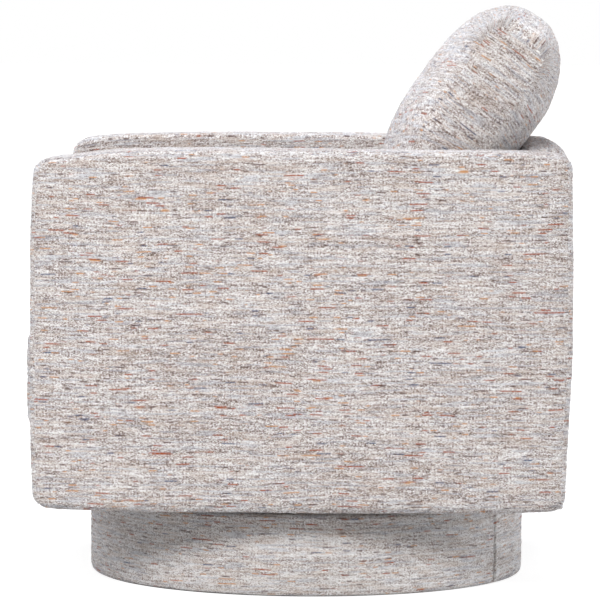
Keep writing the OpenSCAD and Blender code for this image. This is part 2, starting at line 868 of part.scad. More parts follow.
module wood_members() {
    span([-well - rail_t, -well - rail_t, rail_z], [well + rail_t, -well, rail_top_z]);
    span([-well - rail_t, well, rail_z], [well + rail_t, well + rail_t, rail_top_z]);
    span([well, -well - cut, rail_z], [well + rail_t, well + cut, rail_top_z]);
}

module left_arm_cover() {
    x0 = arm_in_x;
    x1 = body_w / 2;
    l = rear_y - front_y;
    h = arm_top_z - body_base_z;
    color("lightgray") difference() {
        intersection() {
            translate([x0, front_y, body_base_z])
                linear_extrude(h) corner_rect(arm_t, l, [front_edge_r, front_edge_r, rear_edge_r, 0]);
            along_x(x0, x1) translate([front_y, body_base_z])
                corner_rect(l, h, [base_edge_r, base_edge_r, rear_edge_r, front_edge_r]);
            along_y(front_y, rear_y) translate([x0, body_base_z])
                corner_rect(arm_t, h, [0, wrap_t, front_edge_r, front_edge_r]);
        }
        seat_well();
        wood_members();
        left_arm_frame_solid();
        left_arm_boards();
    }
}

// The arm frame without its bolt holes, so that no plugs stay in the padding
module left_arm_frame_solid() {
    left_arm_frame();
    for (j = [-1, 1]) span([well, j * arm_bolt_y - bolt_head_r, arm_bolt_z - bolt_head_r],
        [well + rail_t + post_t, j * arm_bolt_y + bolt_head_r, arm_bolt_z + bolt_head_r]);
}

module arm_cover_left() {
    left_arm_cover();
}

module arm_cover_right() {
    mirror([1, 0, 0]) left_arm_cover();
}

module front_rail_cover() {
    l = rail_t + front_pad_t;
    color("lightgray") difference() {
        along_x(-arm_in_x, arm_in_x) translate([front_y, body_base_z])
            corner_rect(l, deck_top_z - body_base_z, [base_edge_r, 0, 0, base_edge_r / 2]);
        wood_members();
        clip_room();
    }
}

module back_cover() {
    color("lightgray") difference() {
        along_x(-arm_in_x, arm_in_x) translate([back_in_y, body_base_z])
            corner_rect(back_t, arm_top_z - body_base_z,
                [0, base_edge_r, back_t - back_edge_r - rest_gap, back_edge_r]);
        seat_well();
        wood_members();
        back_frame();
        back_board();
        clip_room();
    }
}

// Closed skin over rings of equal counts, with a point at each end
function skin_faces(rings, sides) = let (last = rings * sides + 1) concat(
    [for (k = [0 : sides - 1]) [0, 1 + (k + 1) % sides, 1 + k]],
    [for (i = [0 : rings - 2], k = [0 : sides - 1])
        [1 + i * sides + k, 1 + i * sides + (k + 1) % sides, 1 + (i + 1) * sides + (k + 1) % sides]],
    [for (i = [0 : rings - 2], k = [0 : sides - 1])
        [1 + i * sides + k, 1 + (i + 1) * sides + (k + 1) % sides, 1 + (i + 1) * sides + k]],
    [for (k = [0 : sides - 1]) [last, 1 + (rings - 1) * sides + k, 1 + (rings - 1) * sides + (k + 1) % sides]]
);

// Point of a unit rounded square; a higher power gives squarer corners
function squircle(a, power) = [sign(cos(a)) * pow(abs(cos(a)), 2 / power), sign(sin(a)) * pow(abs(sin(a)), 2 / power)];

// Seat cushion: each ring is [share of the outline, inset of the outline, height]
cushion_side_h = cushion_edge_z - cushion_seat_z - 2 * seat_edge_r;
function edge_inset(a) = seat_swell + seat_edge_r * (1 - cos(a));
cushion_rings = concat(
    [for (s = cushion_floor_shares) [s, edge_inset(90), cushion_seat_z]],
    [for (k = [0 : cushion_edge_steps]) let (a = 90 * (1 - k / cushion_edge_steps))
        [1, edge_inset(a), cushion_seat_z + seat_edge_r * (1 - sin(a))]],
    [for (k = [1 : cushion_side_steps]) let (t = k / (cushion_side_steps + 1))
        [1, seat_swell * (1 - sin(180 * t)), cushion_seat_z + seat_edge_r + t * cushion_side_h]],
    [for (k = [0 : cushion_edge_steps]) let (a = 90 * k / cushion_edge_steps)
        [1, edge_inset(a), cushion_edge_z - seat_edge_r * (1 - sin(a))]],
    [for (s = cushion_top_shares) [s, edge_inset(90), cushion_edge_z + seat_crown * (1 - pow(s, crown_power))]]
);
function cushion_ring(ring) = [for (k = [0 : cushion_points - 1])
    let (u = squircle(360 * (k + 0.5) / cushion_points, cushion_power))
        [ring[0] * (cushion_half_x - ring[1]) * u[0],
            cushion_mid_y + ring[0] * (cushion_half_y - ring[1]) * u[1], ring[2]]];

module seat_cushion() {
    color("lightgray") polyhedron(
        concat([[0, cushion_mid_y, cushion_seat_z]], [for (r = cushion_rings) each cushion_ring(r)],
            [[0, cushion_mid_y, cushion_edge_z + seat_crown]]),
        skin_faces(len(cushion_rings), cushion_points)
    );
}

// Back pillow: sections swept along a line that runs up, bends back and runs on
function pillow_angle(s) = pillow_lean * min(max((s - pillow_straight) / pillow_bend_l, 0), 1);
function pillow_place(s) = let (a = pillow_angle(s), on = max(s - pillow_straight - pillow_bend_l, 0)) [
    pillow_y + pillow_bend_r * (1 - cos(a)) + on * sin(a),
    pillow_z + min(s, pillow_straight) + pillow_bend_r * sin(a) + on * cos(a)
];
function end_share(s) = let (e = min(s / pillow_foot_r, (pillow_l - s) / pillow_end_r, 1))
    pow(1 - pow(1 - e, pillow_end_power), 1 / pillow_end_power);
// How far back the pillow may reach at a height, past the rounded top edge of the back
function pillow_limit(z) = let (r = back_edge_r + pillow_back_gap, up = z - arm_top_z + back_edge_r)
    up >= r ? rear_y : up <= 0 ? back_in_y - rest_gap : back_in_y + back_edge_r - sqrt(r * r - up * up);
function pillow_half(s) = let (t = max(0, min(1, (s - pillow_straight) / pillow_bend_l)))
    (pillow_t + (pillow_top_t - pillow_t) * t) / 2;
function pillow_ring(s) = let (a = pillow_angle(s), p = pillow_place(s), e = end_share(s))
    [for (k = [0 : pillow_points - 1])
        let (u = squircle(360 * (k + 0.5) / pillow_points, pillow_power),
            n = pillow_half(s) * e * u[1],
            w = pillow_w / 2 * (1 - pillow_taper_share * (1 - e)) * u[0], z = p[1] - n * sin(a))
                [w, min(p[0] + n * cos(a), pillow_limit(z)), z]];
function pillow_station(k) = let (t = (k + 0.5) / pillow_rings) pillow_l * (1 - cos(180 * t)) / 2;

module back_pillow() {
    low = pillow_place(0);
    high = pillow_place(pillow_l);
    color("lightgray") polyhedron(
        concat([[0, low[0], low[1]]], [for (k = [0 : pillow_rings - 1]) each pillow_ring(pillow_station(k))],
            [[0, high[0], high[1]]]),
        skin_faces(pillow_rings, pillow_points)
    );
}

floor_ring();
base_lower_hoop();
base_glue_blocks();
base_board();
drum_wall();
drum_cover();
drum_bottom_cover();
race_lower();
race_screws();
bearing_balls();
ball_cage();
race_upper();
rocker_carriage();
carriage_bolts();
pivot_pins();
pivot_washers();
pivot_clips();
spring_cups_lower();
coil_springs_front();
coil_springs_rear();
bump_stops();
seat_plate();
pivot_bushes();
spring_cups_upper();
seat_plate_bolts();
mechanism_rails();
front_rail();
back_rail();
side_rail_left();
side_rail_right();
corner_blocks();
frame_cleats();
rail_screws();
arm_frame_left();
arm_frame_right();
arm_boards_left();
arm_boards_right();
arm_bolts();
back_frame();
back_board();
seat_springs();
spring_clips();
deck_pad();
seat_dust_cover();
front_rail_cover();
arm_cover_left();
arm_cover_right();
back_cover();
seat_cushion();
back_pillow();
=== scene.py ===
# %% [markdown]
# A lesson in dressing a solid model: an upholstered swivel rocker
#
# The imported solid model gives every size. This file puts fabric, cushions, springs and finishes around it.
# Rounded boxes are worked out as grids of points with numpy, the two loose cushions are blown up a little
# by a cloth simulation, and every finish is a small expression in Python that becomes shader nodes.

# %% Load the solid model
import math
import bpy
import numpy as np
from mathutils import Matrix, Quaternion, Vector


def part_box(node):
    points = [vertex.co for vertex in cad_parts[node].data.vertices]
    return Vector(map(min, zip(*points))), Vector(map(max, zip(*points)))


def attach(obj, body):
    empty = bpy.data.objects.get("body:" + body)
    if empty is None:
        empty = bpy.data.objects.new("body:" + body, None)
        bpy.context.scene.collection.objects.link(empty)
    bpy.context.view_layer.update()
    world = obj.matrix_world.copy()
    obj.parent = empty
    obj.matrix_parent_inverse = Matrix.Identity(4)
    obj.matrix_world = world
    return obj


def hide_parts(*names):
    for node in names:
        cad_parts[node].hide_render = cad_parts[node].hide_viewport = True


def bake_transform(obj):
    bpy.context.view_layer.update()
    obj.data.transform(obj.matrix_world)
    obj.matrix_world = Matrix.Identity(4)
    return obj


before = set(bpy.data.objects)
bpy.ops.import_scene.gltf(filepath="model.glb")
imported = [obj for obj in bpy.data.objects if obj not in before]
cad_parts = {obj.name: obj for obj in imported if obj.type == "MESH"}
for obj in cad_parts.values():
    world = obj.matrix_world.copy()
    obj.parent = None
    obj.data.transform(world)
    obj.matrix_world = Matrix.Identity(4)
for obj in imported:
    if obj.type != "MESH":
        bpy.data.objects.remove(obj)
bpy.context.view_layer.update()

# %% Helpers for every piece
def box_of(node):
    """A node's lowest and highest corners, as arrays."""
    return [np.array(c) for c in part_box(node)]


def stand_in(piece, body, node):
    """The piece moves with a body in place of a solid node."""
    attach(piece, body)
    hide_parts(node)

# %% [markdown]
# The camera comes first. The picture was taken from far away, almost level, a little above the arms. A long
# lens from seven metres keeps the sides of the body nearly parallel.

# %% Camera
def add_object(name, data):
    """An object in the scene that shows this mesh, lamp or camera."""
    made = bpy.data.objects.new(name, data)
    bpy.context.scene.collection.objects.link(made)
    return made


def face(thing, spot, ahead, roll=0.0):
    """Puts a camera or a lamp at spot, looking ahead, and rolls it about that line."""
    thing.location = spot
    thing.rotation_mode = "QUATERNION"
    thing.rotation_quaternion = ahead.to_track_quat("-Z", "Y") @ Quaternion((0, 0, 1), roll)


def place_camera(spot, turn, dip, roll, lens):
    """Camera at a point, looking along -X, turned towards +Y, dipped and rolled, all in radians."""
    camera = add_object("camera", bpy.data.cameras.new("camera"))
    ahead = Vector((-math.cos(turn) * math.cos(dip), math.sin(turn) * math.cos(dip), -math.sin(dip)))
    face(camera, spot, ahead, roll)
    camera.data.lens, camera.data.sensor_width = lens, 36
    camera.data.clip_end = 60
    bpy.context.scene.camera = camera
    print("camera lens", lens, "mm")

place_camera((7.0, 0.0755, 0.9138), turn=-0.01250, dip=0.0700, roll=0.0050, lens=268.6)

# %% [markdown]
# Light and floor. A pale room lights the chair evenly from all round. A wide soft lamp beside the camera
# gives the shade under the body and on the round base, two light the sides, and one the top edges. The
# floor is white to the camera, and the chair's shadow still falls on it.

# %% Colours are written as they look on a screen
def shade(r, g, b):
    """Screen colour (0 to 1) to the linear colour that a shader wants."""
    return tuple(c / 12.92 if c <= 0.04045 else ((c + 0.055) / 1.055) ** 2.4 for c in (r, g, b)) + (1.0,)

# %% A small class that writes shader maths
def operators(operation):
    """An operator between wires and numbers, and its reflected form for a number on the left."""
    def forward(self, other):
        return self.node("ShaderNodeMath", {"operation": operation}, {0: self, 1: other})

    def reflected(self, other):
        return self.node("ShaderNodeMath", {"operation": operation}, {0: other, 1: self})

    return forward, reflected


def plug(value, socket):
    """Links a wire to a socket, or sets the socket to a plain value."""
    if isinstance(value, Wire):
        value.tree.links.new(value.socket, socket)
    else:
        socket.default_value = value


class Wire:
    """One output socket. Arithmetic on it adds Math nodes, and node() adds any other node."""

    __add__, __radd__ = operators("ADD")
    __sub__, __rsub__ = operators("SUBTRACT")
    __mul__, __rmul__ = operators("MULTIPLY")
    __truediv__, __rtruediv__ = operators("DIVIDE")

    def __init__(self, tree, socket=None):
        self.tree, self.socket = tree, socket

    def node(self, kind, settings=None, values=None, out=0):
        """A new node: its settings first, then its sockets' values or links; gives the chosen output."""
        made = self.tree.nodes.new(kind)
        for name, value in (settings or {}).items():
            if name == "stops":
                ramp = made.color_ramp.elements
                while len(ramp) < len(value):
                    ramp.new(0.5)
                for element, (place, colour) in zip(ramp, value):
                    element.position, element.color = place, shade(*colour)
            else:
                setattr(made, name, value)
        for name, value in (values or {}).items():
            plug(value, made.inputs[name])
        return Wire(self.tree, made.outputs[out])

    def math(self, operation, *others):
        """A Math node with this wire in its first socket."""
        return self.node("ShaderNodeMath", {"operation": operation}, dict(enumerate((self, *others))))

    def part(self, axis):
        """The X, Y or Z of a vector."""
        return self.node("ShaderNodeSeparateXYZ", None, {0: self}, out="XYZ".index(axis))

    def step(self, low, high):
        """0 below low, 1 above high, and a smooth slope between them."""
        smooth = {"interpolation_type": "SMOOTHSTEP"}
        return self.node("ShaderNodeMapRange", smooth, {0: self, 1: low, 2: high})

    def mixed(self, first, second):
        """Colour first where this value is 0 and second where it is 1."""
        return self.node("ShaderNodeMix", {"data_type": "RGBA"}, {0: self, 6: first, 7: second}, out=2)


def vector(x, y, z=0.0):
    return x.node("ShaderNodeCombineXYZ", None, {0: x, 1: y, 2: z})


def noise(place, scale=1.0, detail=0.0, rough=0.5, flat=False):
    """Smooth random value, about 0.2 to 0.8, around 0.5."""
    return place.node("ShaderNodeTexNoise", {"noise_dimensions": "2D" if flat else "3D"},
                      {"Vector": place, "Scale": scale, "Detail": detail, "Roughness": rough})


def new_material(name, weave=False):
    """A material, and the place of a point on its piece: in metres, or on the weave map."""
    material = bpy.data.materials.new(name)
    material.use_nodes = True
    start = Wire(material.node_tree)
    if weave:
        return material, start.node("ShaderNodeUVMap", {"uv_map": "weave"})
    return material, start.node("ShaderNodeTexCoord", out=3)


def finish_material(material, height, strength, distance, **inputs):
    """Gives the material its inputs by name, and a Bump node for a height."""
    bump = {"Strength": strength, "Distance": distance, "Height": height}
    inputs["Normal"] = height.node("ShaderNodeBump", None, bump)
    for name, value in inputs.items():
        plug(value, material.node_tree.nodes["Principled BSDF"].inputs[name.replace("_", " ")])
    return material

# %% Room, lamps and floor
WHITE = (1.0, 1.0, 1.0, 1.0)

def seen_directly(tree):
    """1 for a ray from the camera, off gloss or through glass, and 0 for light that bounces about."""
    path = tree.nodes.new("ShaderNodeLightPath")
    kinds = [Wire(tree, path.outputs[n]) for n in ("Is Camera Ray", "Is Glossy Ray", "Is Transmission Ray")]
    return kinds[0] + kinds[1] + kinds[2]


def light_room(colour, strength):
    """A pale world that lights from all round, and is white where it is seen."""
    scene = bpy.context.scene
    scene.view_settings.view_transform = "Standard"
    scene.world = scene.world or bpy.data.worlds.new("room")
    scene.world.use_nodes = True
    tree = scene.world.node_tree
    tree.nodes.clear()
    air = Wire(tree)
    sky = air.node("ShaderNodeBackground", None, {"Color": colour, "Strength": strength})
    card = air.node("ShaderNodeBackground", None, {"Color": WHITE, "Strength": 1.0})
    seen = seen_directly(tree).math("MINIMUM", 1.0)
    both = air.node("ShaderNodeMixShader", None, {0: seen, 1: sky, 2: card})
    tree.links.new(both.socket, tree.nodes.new("ShaderNodeOutputWorld").inputs[0])


def lamp(name, spot, aim, size, power, colour=(1, 1, 1)):
    """A soft oblong lamp at spot that faces aim, with its power in watts."""
    light = bpy.data.lights.new(name, "AREA")
    light.shape, light.size, light.size_y, light.energy, light.color = "RECTANGLE", *size, power, colour
    face(add_object(name, light), spot, Vector(aim) - Vector(spot))


def white_floor(radius, grey, glow, far_glow, seen_share):
    """A wide round floor: the part that the camera sees glows, and the grey part below takes the shadow.

    The glow grows by far_glow from 0.9 to 2.6 m away, where the lamps light the floor less.
    """
    turn = np.linspace(0, 2 * math.pi, 96, endpoint=False)
    rim = np.stack([radius * np.cos(turn), radius * np.sin(turn), 0 * turn], 1)
    mesh = bpy.data.meshes.new("floor")
    mesh.from_pydata(rim.tolist(), [], [list(range(len(turn)))])
    floor = add_object("floor", mesh)
    material, place = new_material("floor_paper")
    tree = material.node_tree
    x, y = place.part("X"), place.part("Y")
    away = (x * x + y * y).math("SQRT")
    light = {"Color": WHITE, "Strength": glow + away.step(0.9, 2.6) * far_glow}
    paper = place.node("ShaderNodeEmission", None, light)
    matte = place.node("ShaderNodeBsdfDiffuse", None, {"Color": (grey, grey, grey, 1)})
    both = place.node("ShaderNodeMixShader", None, {0: seen_directly(tree) * seen_share, 1: matte, 2: paper})
    tree.links.new(both.socket, tree.nodes["Material Output"].inputs[0])
    mesh.materials.append(material)


SIDE_TINT, TOP_TINT = (0.95, 0.975, 1.0), (0.90, 0.945, 1.0)
light_room((1.0, 0.965, 0.92, 1.0), 0.09)
white_floor(radius=45, grey=0.74, glow=1.31, far_glow=0.35, seen_share=0.66)
lamp("key", (4.1, -0.7, 2.30), (0, 0, 0.35), (4.2, 1.0), 204)
lamp("left", (-1.0, -4.0, 1.9), (0, 0, 0.40), (2.9, 2.4), 82, SIDE_TINT)
lamp("right", (-1.0, 4.0, 1.2), (0, 0, 0.50), (2.9, 1.8), 140, SIDE_TINT)
lamp("top", (-0.5, -0.2, 3.4), (-0.1, 0, 0.4), (1.8, 2.4), 120, TOP_TINT)

# %% [markdown]
# The tweed. It is woven in rows about 5 mm apart: a thick looped yarn, nearly white, over a taupe ground,
# with thin threads of rust, slate, ochre and brown laid in here and there. Each piece carries a map named
# "weave" in metres, u along the yarn and v across it, so that the rows follow the cloth over every edge. The
# number of each half row picks the noise of its streaks, so a streak stays inside its own thread.

# %% Tweed
ROW, WARP = 0.0053, 0.0047  # from row to row, and between the upright yarns, which show only faintly

# From the pile's bottom (taupe ground and painted shade) to a loop's top (white yarn and painted highlight).
GROUND_AND_SHADE = ((0.00, (0.400, 0.330, 0.300)), (0.32, (0.640, 0.585, 0.560)),
          (0.62, (0.805, 0.778, 0.770)), (1.00, (0.935, 0.930, 0.928)))

# For each thread its length in metres, its seed, where its noise starts and fills it, and its colour.
THREADS = ((0.048, 31.0, 0.705, 0.76, (0.62, 0.29, 0.11)), (0.044, 47.0, 0.735, 0.80, (0.27, 0.31, 0.43)),
           (0.036, 59.0, 0.705, 0.77, (0.78, 0.57, 0.38)), (0.026, 73.0, 0.690, 0.78, (0.33, 0.23, 0.20)))


def tweed(name, tone):
    """Rows of looped yarn over a darker ground and painted shade, with thin coloured threads laid into some
    grooves.
    """
    material, place = new_material(name, weave=True)
    u, v = place.part("X"), place.part("Y")

    def cloud(length, width, detail=0.0, rough=0.5):
        """Noise with patches of a given length and width in metres."""
        return noise(vector(u / length, v / width), detail=detail, rough=rough, flat=True)

    wander = cloud(0.11, 0.05)
    across = v / ROW + wander * 1.1
    row, inside = across.math("FLOOR"), across.math("FRACT")
    half_row = (across * 2.0).math("FLOOR")

    def along(length, seed):
        """Noise along the yarn, different in each half row."""
        return noise(vector(u / length, half_row * 7.31 + seed), detail=1.0, flat=True)

    crown = ((inside + 0.5) * (2 * math.pi)).math("COSINE") * 0.5 + 0.5
    knots = vector(u / 0.0024 + row * 0.37, v / 0.0013 + wander * 0.8)
    cells = {"voronoi_dimensions": "2D", "feature": "F1"}
    knot = {"Vector": knots, "Scale": 1.0, "Randomness": 0.65}
    loop = 1.0 - knots.node("ShaderNodeTexVoronoi", cells, knot) * 1.9
    # Each knot's random light or dark: partly the yarn's own tone, partly a painted highlight or shade on
    # its loop.
    knot_tone_and_shade = knots.node("ShaderNodeTexVoronoi", cells, knot, out=1).part("X")
    nubs, fibre = cloud(0.0020, 0.0011, 1.0), cloud(0.0009, 0.0008)
    warp = (u * (2 * math.pi / WARP) + wander * 6.0).math("COSINE")
    runs, bands, patches = along(0.030, 11.7), cloud(0.34, 0.010, 2.0, 0.6), cloud(0.12, 0.05, 1.0)
    # The tone rises with the cloth's height: the white loops over a taupe ground are the cloth's own, the
    # rest is painted shade in the grooves and painted highlight on the loops.
    tone = tone + loop * 0.26 + warp * 0.05
    for pattern, weight in ((crown, 0.10), (knot_tone_and_shade, 0.72), (nubs, 1.05), (fibre, 0.6),
                            (runs, 0.84), (bands, 0.50), (patches, 0.18)):
        tone = tone + (pattern - 0.5) * weight
    base = place.node("ShaderNodeValToRGB", {"stops": GROUND_AND_SHADE}, {0: tone})
    hue = noise(vector(u / 0.060, half_row * 3.7 + 5.0), detail=1.0, flat=True)
    base = (hue.step(0.52, 0.70) * 0.36).mixed(base, shade(0.775, 0.705, 0.655))
    base = ((1.0 - hue).step(0.54, 0.70) * 0.42).mixed(base, shade(0.69, 0.705, 0.745))
    groove = 1.0 - crown.step(0.35, 0.85) * 0.75
    for length, seed, start, full, colour in THREADS:
        laid = along(length, seed).step(start, full) * groove
        base = (laid * (0.40 + knot_tone_and_shade * 0.8)).mixed(base, shade(*colour))
    height = crown * 0.35 + loop * (0.45 + knot_tone_and_shade * 0.5) + nubs * 0.9 + fibre * 0.35
    return finish_material(material, height, 0.75, 0.0015, Base_Color=base, Roughness=0.93,
                           Specular_IOR_Level=0.18, Sheen_Weight=0.32, Sheen_Roughness=0.28,
                           Sheen_Tint=(0.84, 0.89, 1.0, 1.0))

TWEED = tweed("tweed", 0.486)
# The drum's cloth is the same tweed with a paler tone: painted light, which brightens the round base under
# the body's overhang.
DRUM_TWEED_PAINTED_LIGHT = tweed("tweed_drum_painted_light", 0.641)
print("tweed rows are", ROW * 1000, "mm apart, with", len(THREADS), "coloured threads")

# %% [markdown]
# Smooth random numbers on points, for lumps and waves in the cloth. Each corner of a grid of cubes gets a
# random number from its whole coordinates, and a point takes a smooth mix of its cube's eight corners.

# %% Noise for shapes
def lumps(points, size, seed):
    """Value noise: for each point, the eight corners' random numbers mixed by smoothed shares; -1 to 1."""
    p = np.asarray(points, float) / size
    cell = np.floor(p).astype(np.int64)
    t = p - cell
    t = t * t * (3 - 2 * t)
    total = np.zeros(len(p))
    for corner in np.ndindex(2, 2, 2):
        c = (cell + corner) * np.array([73856093, 19349663, 83492791]) + seed * 2654435761
        h = (c[:, 0] ^ c[:, 1] ^ c[:, 2]) & 0xFFFFFFFF
        h = (h ^ (h >> 15)) * 0x2C1B3C6D & 0xFFFFFFFF
        h = (h ^ (h >> 12)) * 0x297A2D39 & 0xFFFFFFFF
        h = h ^ (h >> 15)
        share = np.prod(np.where(np.array(corner), t, 1 - t), axis=1)
        total += share * (h / 0xFFFFFFFF * 2 - 1)
    return total


def cloth_height(points, weave, seed, waves, edge=0.5):
    """Height of the cloth in metres over points, from their weave map and their places.

    It has a wave for each row, nubs, rare slubs, and slow waves, each given as (size, seed, height). Nubs
    and slubs stand higher where edge is 1, because a bend opens the loops.
    """
    u, v, flat = weave[:, 0], weave[:, 1], 0 * weave[:, 0]
    nubs = lumps(np.stack([u / 0.0052, v / 0.00265, flat], 1), 1.0, seed)
    slubs = np.clip(lumps(np.stack([u / 0.018, v / 0.0053, flat], 1), 1.0, seed + 5) - 0.55, 0, 1)
    height = 0.00025 * np.cos(2 * math.pi * v / ROW)
    height = height + (0.00045 + 0.0018 * edge) * nubs + (0.0009 + 0.0020 * edge) * slubs
    for size, wave_seed, amount in waves:
        height = height + lumps(points, size, wave_seed) * amount
    return height


def roundness(normal):
    """0 on a box's flat sides and 1 on its rounded edges."""
    return np.clip((1 - np.abs(normal).max(axis=1)) / 0.22, 0, 1)


def ease(x):
    """0 below 0, 1 above 1, and a smooth slope between."""
    x = np.clip(x, 0, 1)
    return x * x * (3 - 2 * x)

# %% [markdown]
# A rounded box as six grids. Every upholstered part of the body is a box with soft edges. A cube could be
# bevelled, but then the rows of the cloth couldn't follow the edges. Here grid lines are laid along each
# axis, closer near the edges, and each point of the cube's skin is moved onto the rounding.

# %% Rounded box
def grid_lines(low, high, r_low, r_high, step):
    """Places of grid lines along one axis: inner edge - r * tan(angle) over each rounding, even between."""
    def bend(r):
        return np.tan(np.linspace(math.pi / 4, 0, max(2, round(r * math.pi / 4 / step)) + 1)) * r
    start, end = low + r_low, high - r_high
    middle = np.linspace(start, end, max(1, round((high - low - r_low - r_high) / step)) + 1)
    return np.concatenate([start - bend(r_low)[:-1], middle, (end + bend(r_high)[::-1])[1:]])


def grid_quads(rows, cols, ring_rows=False, ring_cols=False):
    """Quads (i, j), (i + 1, j), (i + 1, j + 1), (i, j + 1) of points in rows; a ring joins last to first."""
    i, j = np.meshgrid(np.arange(rows - 1 + ring_rows), np.arange(cols - 1 + ring_cols), indexing="ij")
    i2, j2 = (i + 1) % rows, (j + 1) % cols
    return np.stack([i * cols + j, i2 * cols + j, i2 * cols + j2, i * cols + j2], -1)


def rounded_box(low, high, r_low, r_high, steps):
    """Points, outward normals, quads, their sides, the lattice place of each corner, and the line counts.

    A point p of the cube's skin goes to q + n * r, where q is p held inside the inner box, and n is the
    unit vector of (p - q) / r, with r the rounding at that end of each axis.
    """
    low, high, r_low, r_high = (np.asarray(x, float) for x in (low, high, r_low, r_high))
    lines = [grid_lines(low[a], high[a], r_low[a], r_high[a], steps[a]) for a in range(3)]
    n = np.array([len(x) for x in lines])
    quads, sides = [], []
    for axis in range(3):
        b, c = (axis + 1) % 3, (axis + 2) % 3
        for end in (0, 1):
            cells = grid_quads(n[b], n[c]).reshape(-1, 4)
            cells = cells if end else cells[:, ::-1]
            corner = np.full(cells.shape + (3,), end * (n[axis] - 1))
            corner[..., b], corner[..., c] = np.divmod(cells, n[c])
            quads.append(corner)
            sides.append(np.full(len(cells), axis * 2 + end))
    corners = np.concatenate(quads)
    key = (corners[..., 0] * n[1] + corners[..., 1]) * n[2] + corners[..., 2]
    used, faces = np.unique(key, return_inverse=True)
    index = np.stack([used // (n[1] * n[2]), used // n[2] % n[1], used % n[2]], 1)
    p = np.stack([lines[a][index[:, a]] for a in range(3)], 1)
    q = np.clip(p, low + r_low, high - r_high)
    r = np.where(p - q > 0, r_high, r_low)
    unit = (p - q) / r
    unit /= np.linalg.norm(unit, axis=1)[:, None]
    normal = unit / r
    normal /= np.linalg.norm(normal, axis=1)[:, None]
    return q + unit * r, normal, faces.reshape(-1, 4), np.concatenate(sides), corners, n


X, Y, Z = np.eye(3)
O = np.zeros(3)

def woven_box(low, high, r_low, r_high, steps, weave):
    """A rounded box and its weave map: points, normals, quads, sides, and (u, v) at corners and at points.

    Sides are 0 for -X, 1 +X, 2 -Y, 3 +Y, 4 -Z and 5 +Z. For each, weave says which way u runs and by how
    many of the box's sizes it is moved, and the same for v.
    """
    p, normal, faces, sides, corners, n = rounded_box(low, high, r_low, r_high, steps)
    where, size = corners * np.array(steps), (n - 1) * np.array(steps)
    uv = np.zeros(faces.shape + (2,))
    for side, (u_way, u_start, v_way, v_start) in weave.items():
        mask = sides == side
        uv[mask, :, 0] = where[mask] @ u_way + size @ u_start
        uv[mask, :, 1] = where[mask] @ v_way + size @ v_start
    at_points = np.zeros((len(p), 2))
    at_points[faces.ravel()] = uv.reshape(-1, 2)
    return p, normal, faces, sides, uv, at_points


def set_points(mesh, points):
    mesh.vertices.foreach_set("co", np.asarray(points, np.float32).ravel())
    mesh.update()


def new_piece(name, points, faces, uv, material):
    """A smooth mesh object from arrays, with its weave map if it has one."""
    mesh = bpy.data.meshes.new(name)
    width = faces.shape[-1]
    count = faces.size // width
    mesh.vertices.add(len(points))
    mesh.vertices.foreach_set("co", np.asarray(points, np.float32).ravel())
    mesh.loops.add(count * width)
    mesh.loops.foreach_set("vertex_index", np.asarray(faces, np.int32).ravel())
    mesh.polygons.add(count)
    mesh.polygons.foreach_set("loop_start", np.arange(0, count * width, width, dtype=np.int32))
    mesh.update(calc_edges=True)
    mesh.validate()
    mesh.polygons.foreach_set("use_smooth", np.full(len(mesh.polygons), True))
    if uv is not None:
        mesh.uv_layers.new(name="weave")
        mesh.uv_layers["weave"].data.foreach_set("uv", np.asarray(uv, np.float32).ravel())
    mesh.materials.append(material)
    print(name, len(points), "points", count, "faces")
    return add_object(name, mesh)

# %% [markdown]
# The arms. Each is one tall padded slab. Its cloth goes up the outside, over the top and down the inside
# in level rows, so v is measured along that path. Beside the drum the arm is hollow underneath: points of
# the skin that lie in the well are lifted to the deck. The outside is a little full in the middle, and slow
# waves keep it from looking machined.

# %% Arms
deck_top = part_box("deck_pad")[1].z
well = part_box("deck_pad")[1].x
YARN, CROSS = 0.0052, 0.00265  # grid steps along the yarn and across it

ARM_WEAVE = {
    1: (Y, O, Z, O),
    5: (Y, O, -X, X + Z),
    0: (Y, O, -Z, X + 2 * Z),
    2: (X, -X, Z, O),
    3: (-X, X + Y, Z, O),
    4: (Y, O, X, -X),
}

# How far back the rear face lies at each height above the floor, both in metres.
REAR_TAPER = ((0.14, 0.183, 0.244, 0.304, 0.37, 0.52, 0.62),
              (-0.0065, -0.0053, -0.0035, -0.0009, 0.0022, 0.0025, 0))


def bulge(p, low, high, axis, side, height, power=2.2):
    """Fullness of a panel: height * (1 - |s|^power) * (1 - |t|^power), with s and t across it, -1 to 1."""
    share = np.ones(len(p))
    for a in (a for a in range(3) if a != axis):
        s = np.clip(np.abs(2 * (p[:, a] - low[a]) / (high[a] - low[a]) - 1), 0, 1)
        share *= 1 - s ** power
    toward = (p[:, axis] - (low[axis] + high[axis]) / 2) * side > 0
    return np.where(toward, height * share, 0)


